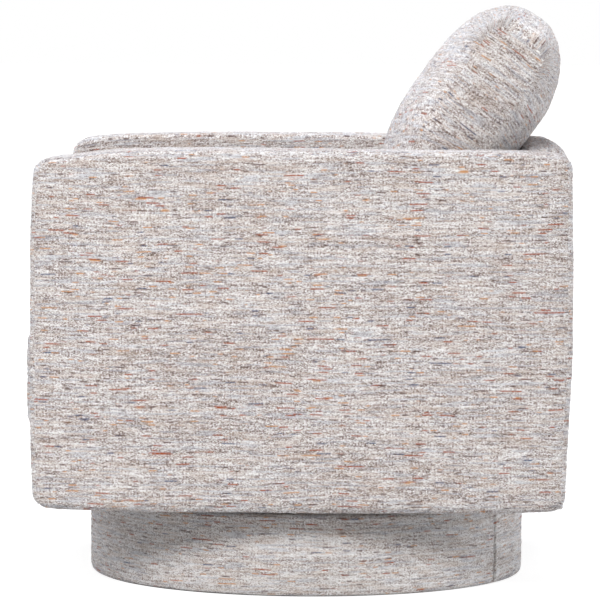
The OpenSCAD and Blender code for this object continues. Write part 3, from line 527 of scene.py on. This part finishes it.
def settle(p, low, high, far):
    """How worn padding has settled: moves for points of an arm, from their distances to its edges.

    The top drops towards the front and the rear, the front draws in towards the top and the foot, the rear
    tapers in towards the foot, and the foot sags between its lifted ends. Each fades off away from its
    edge, and the far arm drops more.
    """
    ahead, behind, under, above = p[:, 1] - low[1], high[1] - p[:, 1], high[2] - p[:, 2], p[:, 2] - low[2]
    upper = ease(above / 0.5)
    foot = np.exp(-above / 0.06)
    front_fade = np.exp(-ahead / 0.058) if far else np.exp(-(ahead / 0.088) ** 2)
    rear_drop = 0.0095 if far else 0.0050
    move = np.zeros_like(p)
    move[:, 1] += 0.0080 * np.exp(-under / 0.045) * np.exp(-ahead / 0.2)
    move[:, 1] += 0.0050 * np.exp(-above / 0.030) * np.exp(-ahead / 0.1)
    move[:, 1] += np.interp(p[:, 2], *REAR_TAPER) * ease(p[:, 1] / high[1])
    move[:, 2] -= 0.0150 * front_fade * upper
    move[:, 2] -= rear_drop * np.exp(-behind / 0.050) * upper
    move[:, 2] -= 0.0022 * foot * (1 - (p[:, 1] / high[1]) ** 2)
    move[:, 2] += (0.0045 * np.exp(-ahead / 0.05) + 0.0032 * np.exp(-behind / 0.05)) * foot
    return move


def over(skin, normal, low, high, margin=0.0022):
    """Keeps cloth outside a wooden box: a point nearer to it than margin moves out along its normal."""
    middle, half = (low + high) / 2, (high - low) / 2
    for _ in range(4):
        away = np.abs(skin - middle) - half
        gap = np.linalg.norm(np.maximum(away, 0), axis=1) + np.minimum(away.max(axis=1), 0)
        skin = skin + normal * np.maximum(margin - gap, 0)[:, None]
    return skin


def arm(name, mirrored):
    """The left arm's cloth, or the right one's as its mirror image with other nubs and a set-back front."""
    low, high = box_of("arm_cover_left")
    p, normal, faces, sides, uv, at_points = woven_box(
        low, high, (0.006, 0.026, 0.022), (0.020, 0.026, 0.021), (CROSS, YARN, CROSS), ARM_WEAVE)
    waves = ((0.16, 3, 0.0014), (0.06, 4, 0.0007), (0.022, 5, 0.0006))
    seed, set_back = (7, 0.011) if mirrored else (1, 0.0)
    rise = cloth_height(p, at_points, seed, waves, roundness(normal))
    skin = p + normal * rise[:, None] + settle(p, low, high, mirrored)
    skin[:, 0] += bulge(p, low, high, 0, 1, 0.0035)
    skin[:, 1] += set_back * np.exp(-(p[:, 1] - low[1]) / 0.05)
    rail_low, rail_high = box_of("back_rail")
    rail_low[0] = 0.3
    skin = over(skin, normal, *box_of("arm_boards_left"))
    skin = over(skin, normal, rail_low, rail_high)
    in_well = (p[:, 0] < well) & (np.abs(p[:, 1]) < well) & (p[:, 2] < deck_top)
    skin[in_well, 2] = deck_top
    skin[:, 0] = np.maximum(skin[:, 0], low[0])
    uv[sides == 1] = skin[faces[sides == 1]][..., 1:]
    if mirrored:
        skin[:, 0] *= -1
        faces, uv = faces[:, ::-1], uv[:, ::-1] + np.array([0.37, 1.913])
    return new_piece(name, skin, faces, uv, TWEED)

for side, mirrored in (("left", False), ("right", True)):
    stand_in(arm("arm_fabric_" + side, mirrored), "chair", "arm_cover_" + side)

# %% [markdown]
# The back and the front rail. The back stands between the arms, with a large soft edge over which the pillow
# leans. The front rail's cover is a narrow roll below the seat cushion that swells a little past the arms.

# %% Back
BACK_WEAVE = {
    2: (X, O, Z, O),
    5: (X, O, Y, Z),
    3: (X, O, -Z, Y + 2 * Z),
    0: (-Y, O, Z, O),
    1: (Y, X, Z, O),
    4: (X, O, -Y, O),
}


def back():
    """A tall slab with a crowned top. Its outside draws in towards the foot, from 0.58 m downwards."""
    low, high = box_of("back_cover")
    low[0] += 0.0001
    high[0] -= 0.0001
    p, normal, faces, _, uv, at_points = woven_box(
        low, high, (0.006, 0.036, 0.022), (0.006, 0.024, 0.026), (YARN, CROSS, CROSS), BACK_WEAVE)
    rise = cloth_height(p, at_points, 21, ((0.16, 13, 0.0012), (0.06, 14, 0.0006)))
    skin = p + normal * rise[:, None]
    crown = (1 - (p[:, 0] / high[0]) ** 2) * ease((p[:, 2] - 0.45) / 0.2)
    skin[:, 2] += 0.001 * crown
    skin[:, 1] += 0.005 * crown * (p[:, 1] > (low[1] + high[1]) / 2) + bulge(p, low, high, 1, 1, 0.004)
    skin[:, 1] -= 0.0095 * np.clip((0.58 - p[:, 2]) / 0.44, 0, 1) ** 1.5 * (p[:, 1] > 0.37)
    for wood in ("back_rail", "back_frame"):
        skin = over(skin, normal, *box_of(wood))
    skin[(p[:, 1] < well) & (p[:, 2] < deck_top), 2] = deck_top
    skin[:, 0] = np.clip(skin[:, 0], low[0], high[0])
    return new_piece("back_fabric", skin, faces, uv + 3.1, TWEED)

stand_in(back(), "chair", "back_cover")

# %% Front rail
def front_rail():
    """A low roll that bulges forwards, a hair clear of both arms and of the rail behind it."""
    low, high = box_of("front_rail_cover")
    low[0] += 0.0006
    high[:2] -= [0.0006, 0.001]
    p, normal, faces, _, uv, at_points = woven_box(
        low, high, (0.006, 0.016, 0.020), (0.006, 0.004, 0.012), (YARN, CROSS, CROSS), BACK_WEAVE)
    waves = ((0.10, 23, 0.0010), (0.045, 24, 0.0006))
    rise = cloth_height(p, at_points, 31, waves, roundness(normal))
    skin = p + normal * rise[:, None]
    skin[:, 1] -= bulge(p, low, high, 1, -1, 0.012, 3.0)
    skin[:, 0] = np.clip(skin[:, 0], low[0], high[0])
    skin[:, 2] = np.minimum(skin[:, 2], high[2])
    return new_piece("front_rail_fabric", skin, faces, uv + 5.3, TWEED)

stand_in(front_rail(), "chair", "front_rail_cover")

# %% [markdown]
# The drum cover: a profile carried round the swivel axis. The profile goes up the outside, over the rim and
# down inside, and back along the wall. One upright seam shows on the side, where the strip's ends meet but
# its rows don't.

# %% Drum
SEAM_ANGLE = math.radians(59)

def drum():
    """Points at angle and height: the radius is the profile's, and outside also the weave and the seam."""
    high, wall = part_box("drum_cover")[1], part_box("drum_wall")[1]
    r, top, foot = high.x, high.z + 0.0050, 0.0008
    rim, hem_in, hem_up = 0.0090, 0.0070, 0.012
    inner, knee = r - 0.018, foot + hem_up
    hem, roll = np.linspace(-math.pi / 2, 0, 7)[:-1], np.linspace(0, math.pi / 2, 6)
    line = [(r - hem_in + hem_in * math.cos(a), knee + hem_up * math.sin(a)) for a in hem]
    line += [(r, z) for z in np.arange(knee, top - rim, CROSS)]
    line += [(r - rim + rim * math.cos(a), top - rim + rim * math.sin(a)) for a in roll]
    line += [(inner + 0.0005, top - 0.001), (inner - 0.0012, top - 0.004),
             (inner - 0.0005, wall.z + 0.0005), (wall.x + 0.0005, wall.z + 0.0005)]
    line = np.array(line)
    rows = len(line)
    near = np.array([0, 0.0015, 0.003, 0.0045, 0.006]) / r
    even = np.linspace(0, 1, 405)[1:-1] * 2 * math.pi
    even = even[(even > near[-1] * 1.3) & (even < 2 * math.pi - near[-1] * 1.3)]
    turn = np.concatenate([near, even, 2 * math.pi - near[:0:-1]])
    cols = len(turn)
    path = np.concatenate([[0], np.cumsum(np.linalg.norm(np.diff(line, axis=0), axis=1))])
    outer = np.tile((line[:, 0] > r - 0.004) & (line[:, 1] > foot + 0.002), cols)
    seam = np.minimum(turn, 2 * math.pi - turn) * r
    groove = 0.0012 * np.exp(-((seam - 0.0055) / 0.003) ** 2) - 0.0034 * np.exp(-(seam / 0.0022) ** 2)
    angle, z = np.repeat(turn + SEAM_ANGLE, rows), np.tile(line[:, 1], cols)
    base = np.stack([np.cos(angle) * r, np.sin(angle) * r, z], 1)
    weave = np.stack([np.repeat(turn * r, rows), np.tile(path, cols)], 1)
    rise = cloth_height(base, weave, 41, ((0.12, 43, 0.0010),)) + np.repeat(groove, rows)
    radius = np.tile(line[:, 0], cols) + np.where(outer, rise, 0)
    z = z + 0.0008 * (1 - np.sin(angle)) / 2 * np.exp(-z / 0.02)
    points = np.stack([np.cos(angle) * radius, np.sin(angle) * radius, z], 1)
    quads = grid_quads(cols, rows, ring_rows=True, ring_cols=True)
    i, j = np.divmod(quads[..., 0], rows)
    turn_next = np.append(turn[1:], 2 * math.pi)
    path_next = np.append(path[1:], path[-1] + 0.1)
    us = np.stack([turn[i], turn_next[i], turn_next[i], turn[i]], -1) * r
    kink = 0.30 * us * np.exp(-us / 0.05)
    vs = np.stack([path[j], path[j], path_next[j], path_next[j]], -1) - kink
    return new_piece("drum_fabric", points, quads, np.stack([us, vs], -1) + 7.9, DRUM_TWEED_PAINTED_LIGHT)

stand_in(drum(), "floor_base", "drum_cover")

# %% [markdown]
# The two loose cushions are the only parts that are really stuffed. Each starts as a rounded box a little
# smaller than the finished one, and a cloth simulation with air pressure blows it up, so that its panels
# crown and its edges draw in. The foot of each is held still, because it rests on something.

# %% Cloth simulation
HELD, LEANING = 1.0, 0.35  # how firmly points are pinned: those that stand, and those that lean

def read(collection, field, width, kind=float):
    """One field of every element of a mesh's list, as rows of width numbers."""
    out = np.zeros(len(collection) * width, kind)
    collection.foreach_get(field, out)
    return out.reshape(-1, width)


def blow_up(piece, held, pressure, cap, frames=14):
    """Runs cloth with pressure on piece, and moves each point at most cap metres towards the result."""
    rest = read(piece.data.vertices, "co", 3)
    group = piece.vertex_groups.new(name="held")
    for weight in (HELD, LEANING):
        chosen = np.flatnonzero(np.isclose(held, weight)).tolist()
        if chosen:
            group.add(chosen, weight, "REPLACE")
    cloth = piece.modifiers.new("cloth", "CLOTH")
    s = cloth.settings
    s.quality, s.mass = 4, 0.3
    s.tension_stiffness = s.compression_stiffness = 18
    s.shear_stiffness, s.bending_stiffness = 8, 1.5
    s.use_pressure, s.uniform_pressure_force = True, pressure
    s.effector_weights.gravity = 0
    s.vertex_group_mass = "held"
    cloth.point_cache.frame_start, cloth.point_cache.frame_end = 1, frames
    for f in range(1, frames + 1):
        bpy.context.scene.frame_set(f)
    shown = piece.evaluated_get(bpy.context.evaluated_depsgraph_get())
    move = read(shown.data.vertices, "co", 3) - rest
    piece.modifiers.remove(cloth)
    piece.vertex_groups.clear()
    bpy.context.scene.frame_set(1)
    far = np.linalg.norm(move, axis=1)
    print(piece.name, "moved up to", round(float(far.max()) * 1000, 1), "mm")
    return rest + move * np.minimum(1, cap / np.maximum(far, 1e-9))[:, None]


def split_once(piece, points):
    """Sets the points, splits each face in four smoothly, and gives the mesh, points, weave and normals."""
    set_points(piece.data, points)
    smooth = piece.modifiers.new("smooth", "SUBSURF")
    smooth.levels = smooth.render_levels = 1
    mesh = bpy.data.meshes.new_from_object(piece.evaluated_get(bpy.context.evaluated_depsgraph_get()))
    piece.modifiers.clear()
    old = piece.data
    piece.data = mesh
    bpy.data.meshes.remove(old)
    mesh.name = piece.name
    weave = np.zeros((len(mesh.vertices), 2))
    users = read(mesh.loops, "vertex_index", 1, int)[:, 0]
    weave[users] = read(mesh.uv_layers["weave"].data, "uv", 2)
    return mesh, read(mesh.vertices, "co", 3), weave, read(mesh.vertex_normals, "vector", 3)

# %% [markdown]
# The seat cushion is boxed: a top and a bottom panel, and a border all round with a seam along each edge. It
# is flat where it lies on the deck and stands a little proud of the arms.

# %% Seat cushion
def seat_cushion():
    """The crown is height * (1 - |s|^3) * (1 - |t|^3), and a seam is a groove exp(-(distance / width)^2)."""
    low, high = box_of("seat_cushion")
    crown, seam_depth, seam_width, flat_foot = 0.014, 0.0030, 0.0032, 0.006
    inner_low, inner_high = low + [0.007, 0.004, 0.0], high - [0.007, 0.002, crown + 0.006]
    p, _, faces, _, uv, _ = woven_box(
        inner_low, inner_high, (0.030, 0.034, 0.030), (0.030, 0.030, 0.034), (0.0106, 0.0080, 0.0080),
        {**BACK_WEAVE, 3: (-X, O, Z, O)})
    s = np.clip((p[:, 0] / inner_high[0]) ** 2, 0, 1)
    t = np.clip(((p[:, 1] - (low[1] + high[1]) / 2) / ((high[1] - low[1]) / 2)) ** 2, 0, 1)
    p[:, 2] += np.where(p[:, 2] > inner_high[2] - 0.03, crown * (1 - s ** 1.5) * (1 - t ** 1.5), 0)
    piece = new_piece("seat_cushion_fabric", p, faces, uv + 9.7, TWEED)
    held = np.where(p[:, 2] < inner_low[2] + 0.004, HELD, 0.0)
    p = blow_up(piece, held, pressure=3.0, cap=0.012)
    front = low - [0, 0.003, 0]
    mesh, q, weave, out = split_once(piece, np.clip(p, front, [high[0], high[1], np.inf]))
    lift = cloth_height(q, weave, 51, ((0.10, 53, 0.0018), (0.04, 54, 0.0008)))
    for seam in (high[2] - crown - 0.014, low[2] + 0.016):
        groove = seam_depth * np.exp(-((q[:, 2] - seam) / seam_width) ** 2)
        lift -= np.where(np.abs(out[:, 2]) < 0.985, groove, 0)
    lift[q[:, 2] < low[2] + flat_foot] = 0
    q = q + out * lift[:, None]
    set_points(mesh, np.clip(q, [low[0], -np.inf, low[2]], [high[0], high[1], np.inf]))
    return piece

stand_in(seat_cushion(), "loose_cushion", "seat_cushion")

# %% [markdown]
# The back pillow stands on the seat, runs up in front of the back and leans back over its rounded top edge.
# It is worked out straight, as a rounded box of width, length and thickness, and then bent: a point at s
# along the length and n through the thickness goes to the middle line at s plus n times its normal.

# %% Back pillow
PILLOW = dict(half_width=0.300, half_thick=0.0914, half_gusset=0.057, upright=0.141, bend=0.172,
              lean=math.radians(35), length=0.4555, end_length=0.424)
PILLOW_REACH = 0.3093  # how far it may swell sideways, just short of the arms

def fill_pillow(p):
    """A box's points to a stuffed form: x across, y through the thickness, z along the length.

    At the middle of its width the pillow has its full thickness and length. Towards the two gussets,
    the end strips, both shrink with 1 - t^2.4, where t is the distance from the middle as a share.
    The filling has sunk forwards, so the middle line is shifted too.
    """
    k = PILLOW
    x, y, z = p.T
    crown = 1 - np.clip(np.abs(x) / k["half_width"], 0, 1) ** 2.4
    end_y = np.sign(y) * np.interp(np.abs(y), [0, 0.0145, k["half_thick"]], [0, 0.030, k["half_gusset"]])
    end_z = np.interp(z, [0, 0.33, k["length"]], [0, 0.368, k["end_length"]])
    shift = np.interp(z, [0, 0.10, 0.26, 0.38, 0.455], [-0.005, -0.0080, -0.0100, -0.0072, -0.0115])
    end_shift = np.interp(z, [0, 0.10, 0.26], [0.0, -0.004, -0.017])
    y = crown * (y + shift) + (1 - crown) * (end_y + end_shift)
    return np.stack([x, y, crown * z + (1 - crown) * end_z], 1)


def bend_pillow(p, foot_y, foot_z):
    """Bends (x, n, s): straight up, round an arc of radius bend, and straight on at the lean."""
    k = PILLOW
    x, n, s = p.T
    a = np.clip((s - k["upright"]) / k["bend"], 0, k["lean"])
    on = np.maximum(s - k["upright"] - k["bend"] * k["lean"], 0)
    y = foot_y + k["bend"] * (1 - np.cos(a)) + on * np.sin(a)
    z = foot_z + np.minimum(s, k["upright"]) + k["bend"] * np.sin(a) + on * np.cos(a)
    return np.stack([x, y + n * np.cos(a), z - n * np.sin(a)], 1)


def in_front(p, reach):
    """Holds points in front of the back's face and of its rounded top edge, and between the arms."""
    low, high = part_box("back_cover")
    r, middle = 0.043, 0.040
    over_middle = p[:, 2] - high.z + middle
    up = np.clip(over_middle, 0, r)
    edge = np.minimum(low.y + middle - np.sqrt(np.maximum(r * r - up * up, 0)), low.y + 0.1)
    limit = np.where(over_middle >= r, high.y + 0.02, edge)
    return np.stack([np.clip(p[:, 0], -reach, reach), np.minimum(p[:, 1], limit), p[:, 2]], 1)


def back_pillow():
    """The straight box is stuffed, bent, blown up, held off the back, and given its weave."""
    half = np.array([PILLOW["half_width"], PILLOW["half_thick"], 0.0])
    high = half + [0, 0, PILLOW["length"]]
    p, _, faces, sides, uv, _ = woven_box(
        -half, high, (0.014, 0.084, 0.040), (0.014, 0.084, 0.140), (0.0106, 0.0106, 0.0053),
        {**BACK_WEAVE, 3: (-X, 2 * X + 2 * Y, Z, O)})
    straight = fill_pillow(p)
    for side, way in ((1, 1), (0, -1)):
        ends = faces[sides == side]
        uv[sides == side] = np.stack([straight[ends, 1] * way + 0.4, straight[ends, 2]], -1)
    foot_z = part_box("back_pillow")[0].z
    p = bend_pillow(straight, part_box("back_cover")[0].y - 0.107, foot_z)
    piece = new_piece("back_pillow_fabric", p, faces, uv + 12.3, TWEED)
    against_back = (straight[:, 1] > 0.06) & (straight[:, 2] < 0.2)
    held = np.where(straight[:, 2] < 0.02, HELD, np.where(against_back, LEANING, 0.0))
    p = blow_up(piece, held, pressure=2.5, cap=0.005)
    mesh, q, weave, out = split_once(piece, in_front(p, PILLOW_REACH - 0.0008))
    lift = cloth_height(q, weave, 61, ((0.11, 63, 0.0022), (0.045, 64, 0.0010)))
    q = in_front(q + out * lift[:, None], PILLOW_REACH)
    q[:, 2] = np.maximum(q[:, 2], foot_z)
    set_points(mesh, q)
    return piece

stand_in(back_pillow(), "loose_pillow", "back_pillow")

# %% [markdown]
# Finishes for everything else. Each is a short recipe in the part's own metres: wood grain is stretched
# noise, zinc plate has faint spangle, black steel a fine powder coat, and rubber and nylon a soft mould
# texture.

# %% Finishes
def wood(name, light, dark, along=12.0, rough=0.62, plies=0.0):
    """Grain: rings of noise, stretched along the longest side, with fine pores; plies add glued layers."""
    material, place = new_material(name)
    x, y, z = (place.part(a) for a in "XYZ")
    rings = noise(vector(x * along, y * (along * 0.35), z * (along * 6.0)), 1.0, 3.0) * 9.0
    rings = rings.math("FRACT")
    pores = noise(vector(x * 300, y * 60, z * 900), 1.0, 2.0)
    tone = rings * 0.45 + pores * 0.55
    if plies:
        layer = (z / plies).math("PINGPONG", 1.0).step(0.35, 0.65)
        tone = tone * 0.6 + layer * 0.4
    colour = tone.mixed(shade(*dark), shade(*light))
    return finish_material(material, pores + rings * 0.3, 0.35, 0.0006, Base_Color=colour,
                           Roughness=pores * 0.2 + (rough - 0.1), Specular_IOR_Level=0.35)


def metal(name, tint, rough, scale, metallic=1.0, mottling=0.12, coat=0.0):
    """Plated, polished or coated steel: a mottled tint and roughness, and faint marks for bump."""
    material, place = new_material(name)
    cloud, fine = noise(place, scale, 3.0), noise(place, scale * 14, 2.0)
    dark = shade(*(c * (1 - mottling) for c in tint))
    colour = (cloud * 0.7 + fine * 0.3).mixed(dark, shade(*tint))
    return finish_material(material, fine, 0.18, 0.0003, Base_Color=colour, Metallic=metallic,
                           Roughness=cloud * 0.18 + (rough - 0.09), Coat_Weight=coat)


def moulded(name, tint, rough, scale=420.0, strength=0.3):
    """Moulded plastic or rubber: one tint with faint flow marks and a fine grain."""
    material, place = new_material(name)
    flow, grain = noise(place, scale * 0.05, 3.0), noise(place, scale, 2.0)
    colour = (flow * 0.8 + grain * 0.2).mixed(shade(*(c * 0.82 for c in tint)), shade(*tint))
    return finish_material(material, grain, strength, 0.0004, Base_Color=colour,
                           Roughness=flow * 0.2 + (rough - 0.1))


def fibres(name, light, dark, size):
    """Felt or non-woven lining: tangled short fibres from two turned, stretched noises."""
    material, place = new_material(name)
    x, y, z = (place.part(a) for a in "XYZ")
    one = noise(vector(x / size, y / (size * 7), z / size), 1.0, 2.0)
    two = noise(vector(x / (size * 7), y / size, z / size), 1.0, 2.0)
    tone = one.math("MAXIMUM", two) * 0.7 + noise(place, 18.0, 3.0) * 0.3
    colour = tone.step(0.3, 0.8).mixed(shade(*dark), shade(*light))
    return finish_material(material, tone, 0.5, 0.0005, Base_Color=colour, Roughness=0.95, Sheen_Weight=0.2)


made = (
    fibres("black_lining", (0.20, 0.20, 0.21), (0.07, 0.07, 0.075), 0.0009),
    fibres("deck_felt", (0.66, 0.65, 0.64), (0.36, 0.35, 0.34), 0.0014),
    moulded("floor_rubber", (0.17, 0.17, 0.17), 0.78),
    wood("hardwood", (0.84, 0.71, 0.54), (0.66, 0.50, 0.33)),
    wood("plywood", (0.87, 0.76, 0.60), (0.72, 0.57, 0.40), 9.0, 0.66, plies=0.0015),
    wood("hardboard", (0.52, 0.38, 0.25), (0.38, 0.25, 0.15), 40.0, 0.55),
    metal("zinc_steel", (0.82, 0.83, 0.84), 0.34, 90.0),
    metal("ball_steel", (0.90, 0.90, 0.91), 0.14, 200.0, mottling=0.04),
    metal("black_steel", (0.15, 0.15, 0.16), 0.46, 160.0, metallic=0.0, mottling=0.2, coat=0.15),
    metal("spring_steel", (0.42, 0.42, 0.43), 0.38, 120.0, mottling=0.3),
    moulded("nylon", (0.92, 0.90, 0.85), 0.42, 300.0, 0.15),
    moulded("black_plastic", (0.16, 0.16, 0.165), 0.48),
)
finishes = {material.name.split(".")[0]: material for material in made}
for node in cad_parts.values():
    slot = node.data.materials[0].name.split(".")[0]
    if slot in finishes:
        node.data.materials[0] = finishes[slot]
print(len(finishes), "finishes for", len(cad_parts), "nodes")

# %% [markdown]
# Under the fabric. The dust covers are sheets of thin black lining, stapled flat: they sag a few millimetres
# and pucker between the staples. The deck pad is felt. The springs are tubes swept along their own curves.

# %% Linings
SAG, PUCKER = 0.0035, 0.0005
FACING_BACK = [0, 3, 2, 1]  # a quad's corners the other way round, so that it faces the other way

def lining(name, points, faces, body, node):
    """A thin sheet from a grid of points, given a thickness of 1 mm."""
    piece = new_piece(name, points, faces, None, finishes["black_lining"])
    thick = piece.modifiers.new("thickness", "SOLIDIFY")
    thick.thickness, thick.offset = 0.0010, 1.0
    stand_in(piece, body, node)
    return piece


def bottom_lining():
    """A square grid made a disc, x = a sqrt(1 - b^2/2), y = b sqrt(1 - a^2/2), that sags as a paraboloid."""
    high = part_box("drum_bottom_cover")[1]
    count, staples = 81, 48
    a, b = np.meshgrid(np.linspace(-1, 1, count), np.linspace(-1, 1, count), indexing="ij")
    x, y = a * np.sqrt(1 - b * b / 2), b * np.sqrt(1 - a * a / 2)
    r = np.hypot(x, y)
    ripple = (1 - np.cos(np.arctan2(y, x) * staples)) / 2
    z = high.z - 0.0034 * (1 - r ** 2) - 0.0006 * np.exp((r - 1) * high.x / 0.02) * ripple
    points = np.stack([x * high.x, y * high.x, z], -1).reshape(-1, 3)
    quads = grid_quads(count, count)
    piece = lining("drum_bottom_lining", points, quads, "floor_base", "drum_bottom_cover")


def seat_lining():
    """A square sheet with a square hole: cells of a grid that lie over the seat plate are left out."""
    high, hole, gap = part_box("seat_dust_cover")[1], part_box("seat_plate")[1], 0.001

    def line(a, edge):
        outer = np.linspace(edge + gap, a, 22)
        return np.concatenate([-outer[::-1], np.linspace(-edge - gap, edge + gap, 35)[1:-1], outer])

    xs, ys = line(high.x, hole.x), line(high.y, hole.y)
    xx, yy = np.meshgrid(xs, ys, indexing="ij")
    inside = np.minimum(high.x - np.abs(xx), high.y - np.abs(yy))
    around = np.maximum(np.abs(xx) - hole.x, np.abs(yy) - hole.y)
    belly = np.clip(inside / 0.05, 0, 1) * np.clip(around / 0.05, 0, 1)
    ripple = (1 - np.cos(xx * 140) * np.cos(yy * 140)) / 2
    z = high.z - 0.0002 - SAG * belly - PUCKER * np.exp(-inside / 0.02) * ripple
    middle_x, middle_y = (xs[1:] + xs[:-1]) / 2, (ys[1:] + ys[:-1]) / 2
    keep = (np.abs(middle_x)[:, None] > hole.x) | (np.abs(middle_y) > hole.y)
    quads = grid_quads(len(xs), len(ys))[keep][:, FACING_BACK]
    used, quads = np.unique(quads, return_inverse=True)
    points = np.stack([xx, yy, z], -1).reshape(-1, 3)[used]
    piece = lining("seat_dust_lining", points, quads.reshape(-1, 4), "chair", "seat_dust_cover")


bottom_lining()
seat_lining()

# %% Deck pad
def felt_pad():
    """The deck pad: a flat rounded box of felt with a faintly lumpy top."""
    low, high = box_of("deck_pad")
    radii = (0.004, 0.004, 0.003)
    p, normal, faces = rounded_box(low, high, radii, radii, (0.012, 0.012, 0.003))[:3]
    p[:, 2] += np.where(normal[:, 2] > 0.5, lumps(p, 0.03, 71) * 0.0005 - 0.0006, 0)
    p[:, 2] = np.clip(p[:, 2], low[2], high[2])
    return new_piece("deck_felt_pad", p, faces, None, finishes["deck_felt"])

stand_in(felt_pad(), "chair", "deck_pad")

# %% Springs
def tube(path, radius, sides):
    """A round tube along a path of points: rings stand square to the path, one side level throughout."""
    ahead = np.gradient(path, axis=0)
    ahead /= np.linalg.norm(ahead, axis=1)[:, None]
    side = np.cross(ahead, [0, 0, 1.0])
    side /= np.linalg.norm(side, axis=1)[:, None]
    up = np.cross(side, ahead)
    turn = np.linspace(0, 2 * math.pi, sides, endpoint=False)
    ring = side[:, None] * np.cos(turn)[None, :, None] + up[:, None] * np.sin(turn)[None, :, None]
    points = (path[:, None] + ring * radius).reshape(-1, 3)
    quads = grid_quads(len(path), sides, ring_cols=True)[..., FACING_BACK]
    j = np.arange(0, sides, 2)
    first, last, base = len(points), len(points) + 1, (len(path) - 1) * sides
    start = np.stack([0 * j + first, (j + 2) % sides, (j + 1) % sides, j], -1)
    end = np.stack([0 * j + last, base + j, base + (j + 1) % sides, base + (j + 2) % sides], -1)
    return np.concatenate([points, [path[0], path[-1]]]), np.concatenate([quads.reshape(-1, 4), start, end])


def wire_piece(name, paths, wire, sides):
    """One piece of spring steel from several paths, each a tube of the wire's diameter."""
    points, faces, count = [], [], 0
    for path in paths:
        some, quads = tube(path, wire / 2, sides)
        points.append(some)
        faces.append(quads + count)
        count += len(some)
    return new_piece(name, np.concatenate(points), np.concatenate(faces), None, finishes["spring_steel"])


def coil_pair(name, node, side_y):
    """Two compression springs: helices whose turns lie on each other at both ends and open up between.

    They stand between the turntable and the chair, where rocking squeezes one pair and stretches the other;
    here they keep their rest shape.
    """
    low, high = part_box(node)
    wire, radius, turns, closed = 0.005, 0.017, 6.0, 0.75
    across, deep = 0.095, 0.080 * side_y
    bottom, top = low.z + wire / 2, high.z - wire / 2
    t = np.linspace(0, turns, int(turns * 40) + 1)
    shut = wire * 1.04
    opened = (top - bottom - 2 * closed * shut) / (turns - 2 * closed)
    pitch = opened + (shut - opened) * (1 - np.clip(np.minimum(t, turns - t) / (2 * closed), 0, 1) ** 2)
    z = np.concatenate([[0], np.cumsum((pitch[1:] + pitch[:-1]) / 2 * np.diff(t))])
    z = bottom + z * (top - bottom) / z[-1]
    x, y = radius * np.cos(2 * math.pi * t), deep + radius * np.sin(2 * math.pi * t)
    piece = wire_piece(name, [np.stack([x + place, y, z], 1) for place in (-across, across)], wire, 12)
    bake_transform(piece)
    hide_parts(node)


def zigzag_springs():
    """Five wires that run front to back in waves, each a path of half circles joined by straights."""
    low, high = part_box("seat_springs")
    wire, width, waves, count = 0.004, 0.052, 26, 5
    step = (high.y - low.y - wire) / waves
    bend = step / 2
    half = width / 2 - bend
    pitch = (high.x - low.x - width - wire) / (count - 1)
    way, y = [], low.y + wire / 2
    for wave in range(waves):
        side = -1 if wave % 2 == 0 else 1
        for share in np.linspace(-1, 1, 6)[:-1] if wave else (-1, 0):
            way.append((side * half * share, y))
        for angle in np.linspace(-math.pi / 2, math.pi / 2, 12)[:-1]:
            way.append((side * (half + bend * math.cos(angle)), y + bend + bend * math.sin(angle)))
        y += step
    last = -1 if waves % 2 == 0 else 1
    way += [(last * half * share, y) for share in (-1, -0.5, 0, 0.5, 1)]
    x, y = np.array(way).T
    z = np.full(len(way), (low.z + high.z) / 2)
    middles = [low.x + (width + wire) / 2 + i * pitch for i in range(count)]
    return wire_piece("zigzag_springs", [np.stack([x + middle, y, z], 1) for middle in middles], wire, 10)


coil_pair("coil_wires_front", "coil_springs_front", -1)
coil_pair("coil_wires_rear", "coil_springs_rear", 1)
stand_in(zigzag_springs(), "chair", "seat_springs")
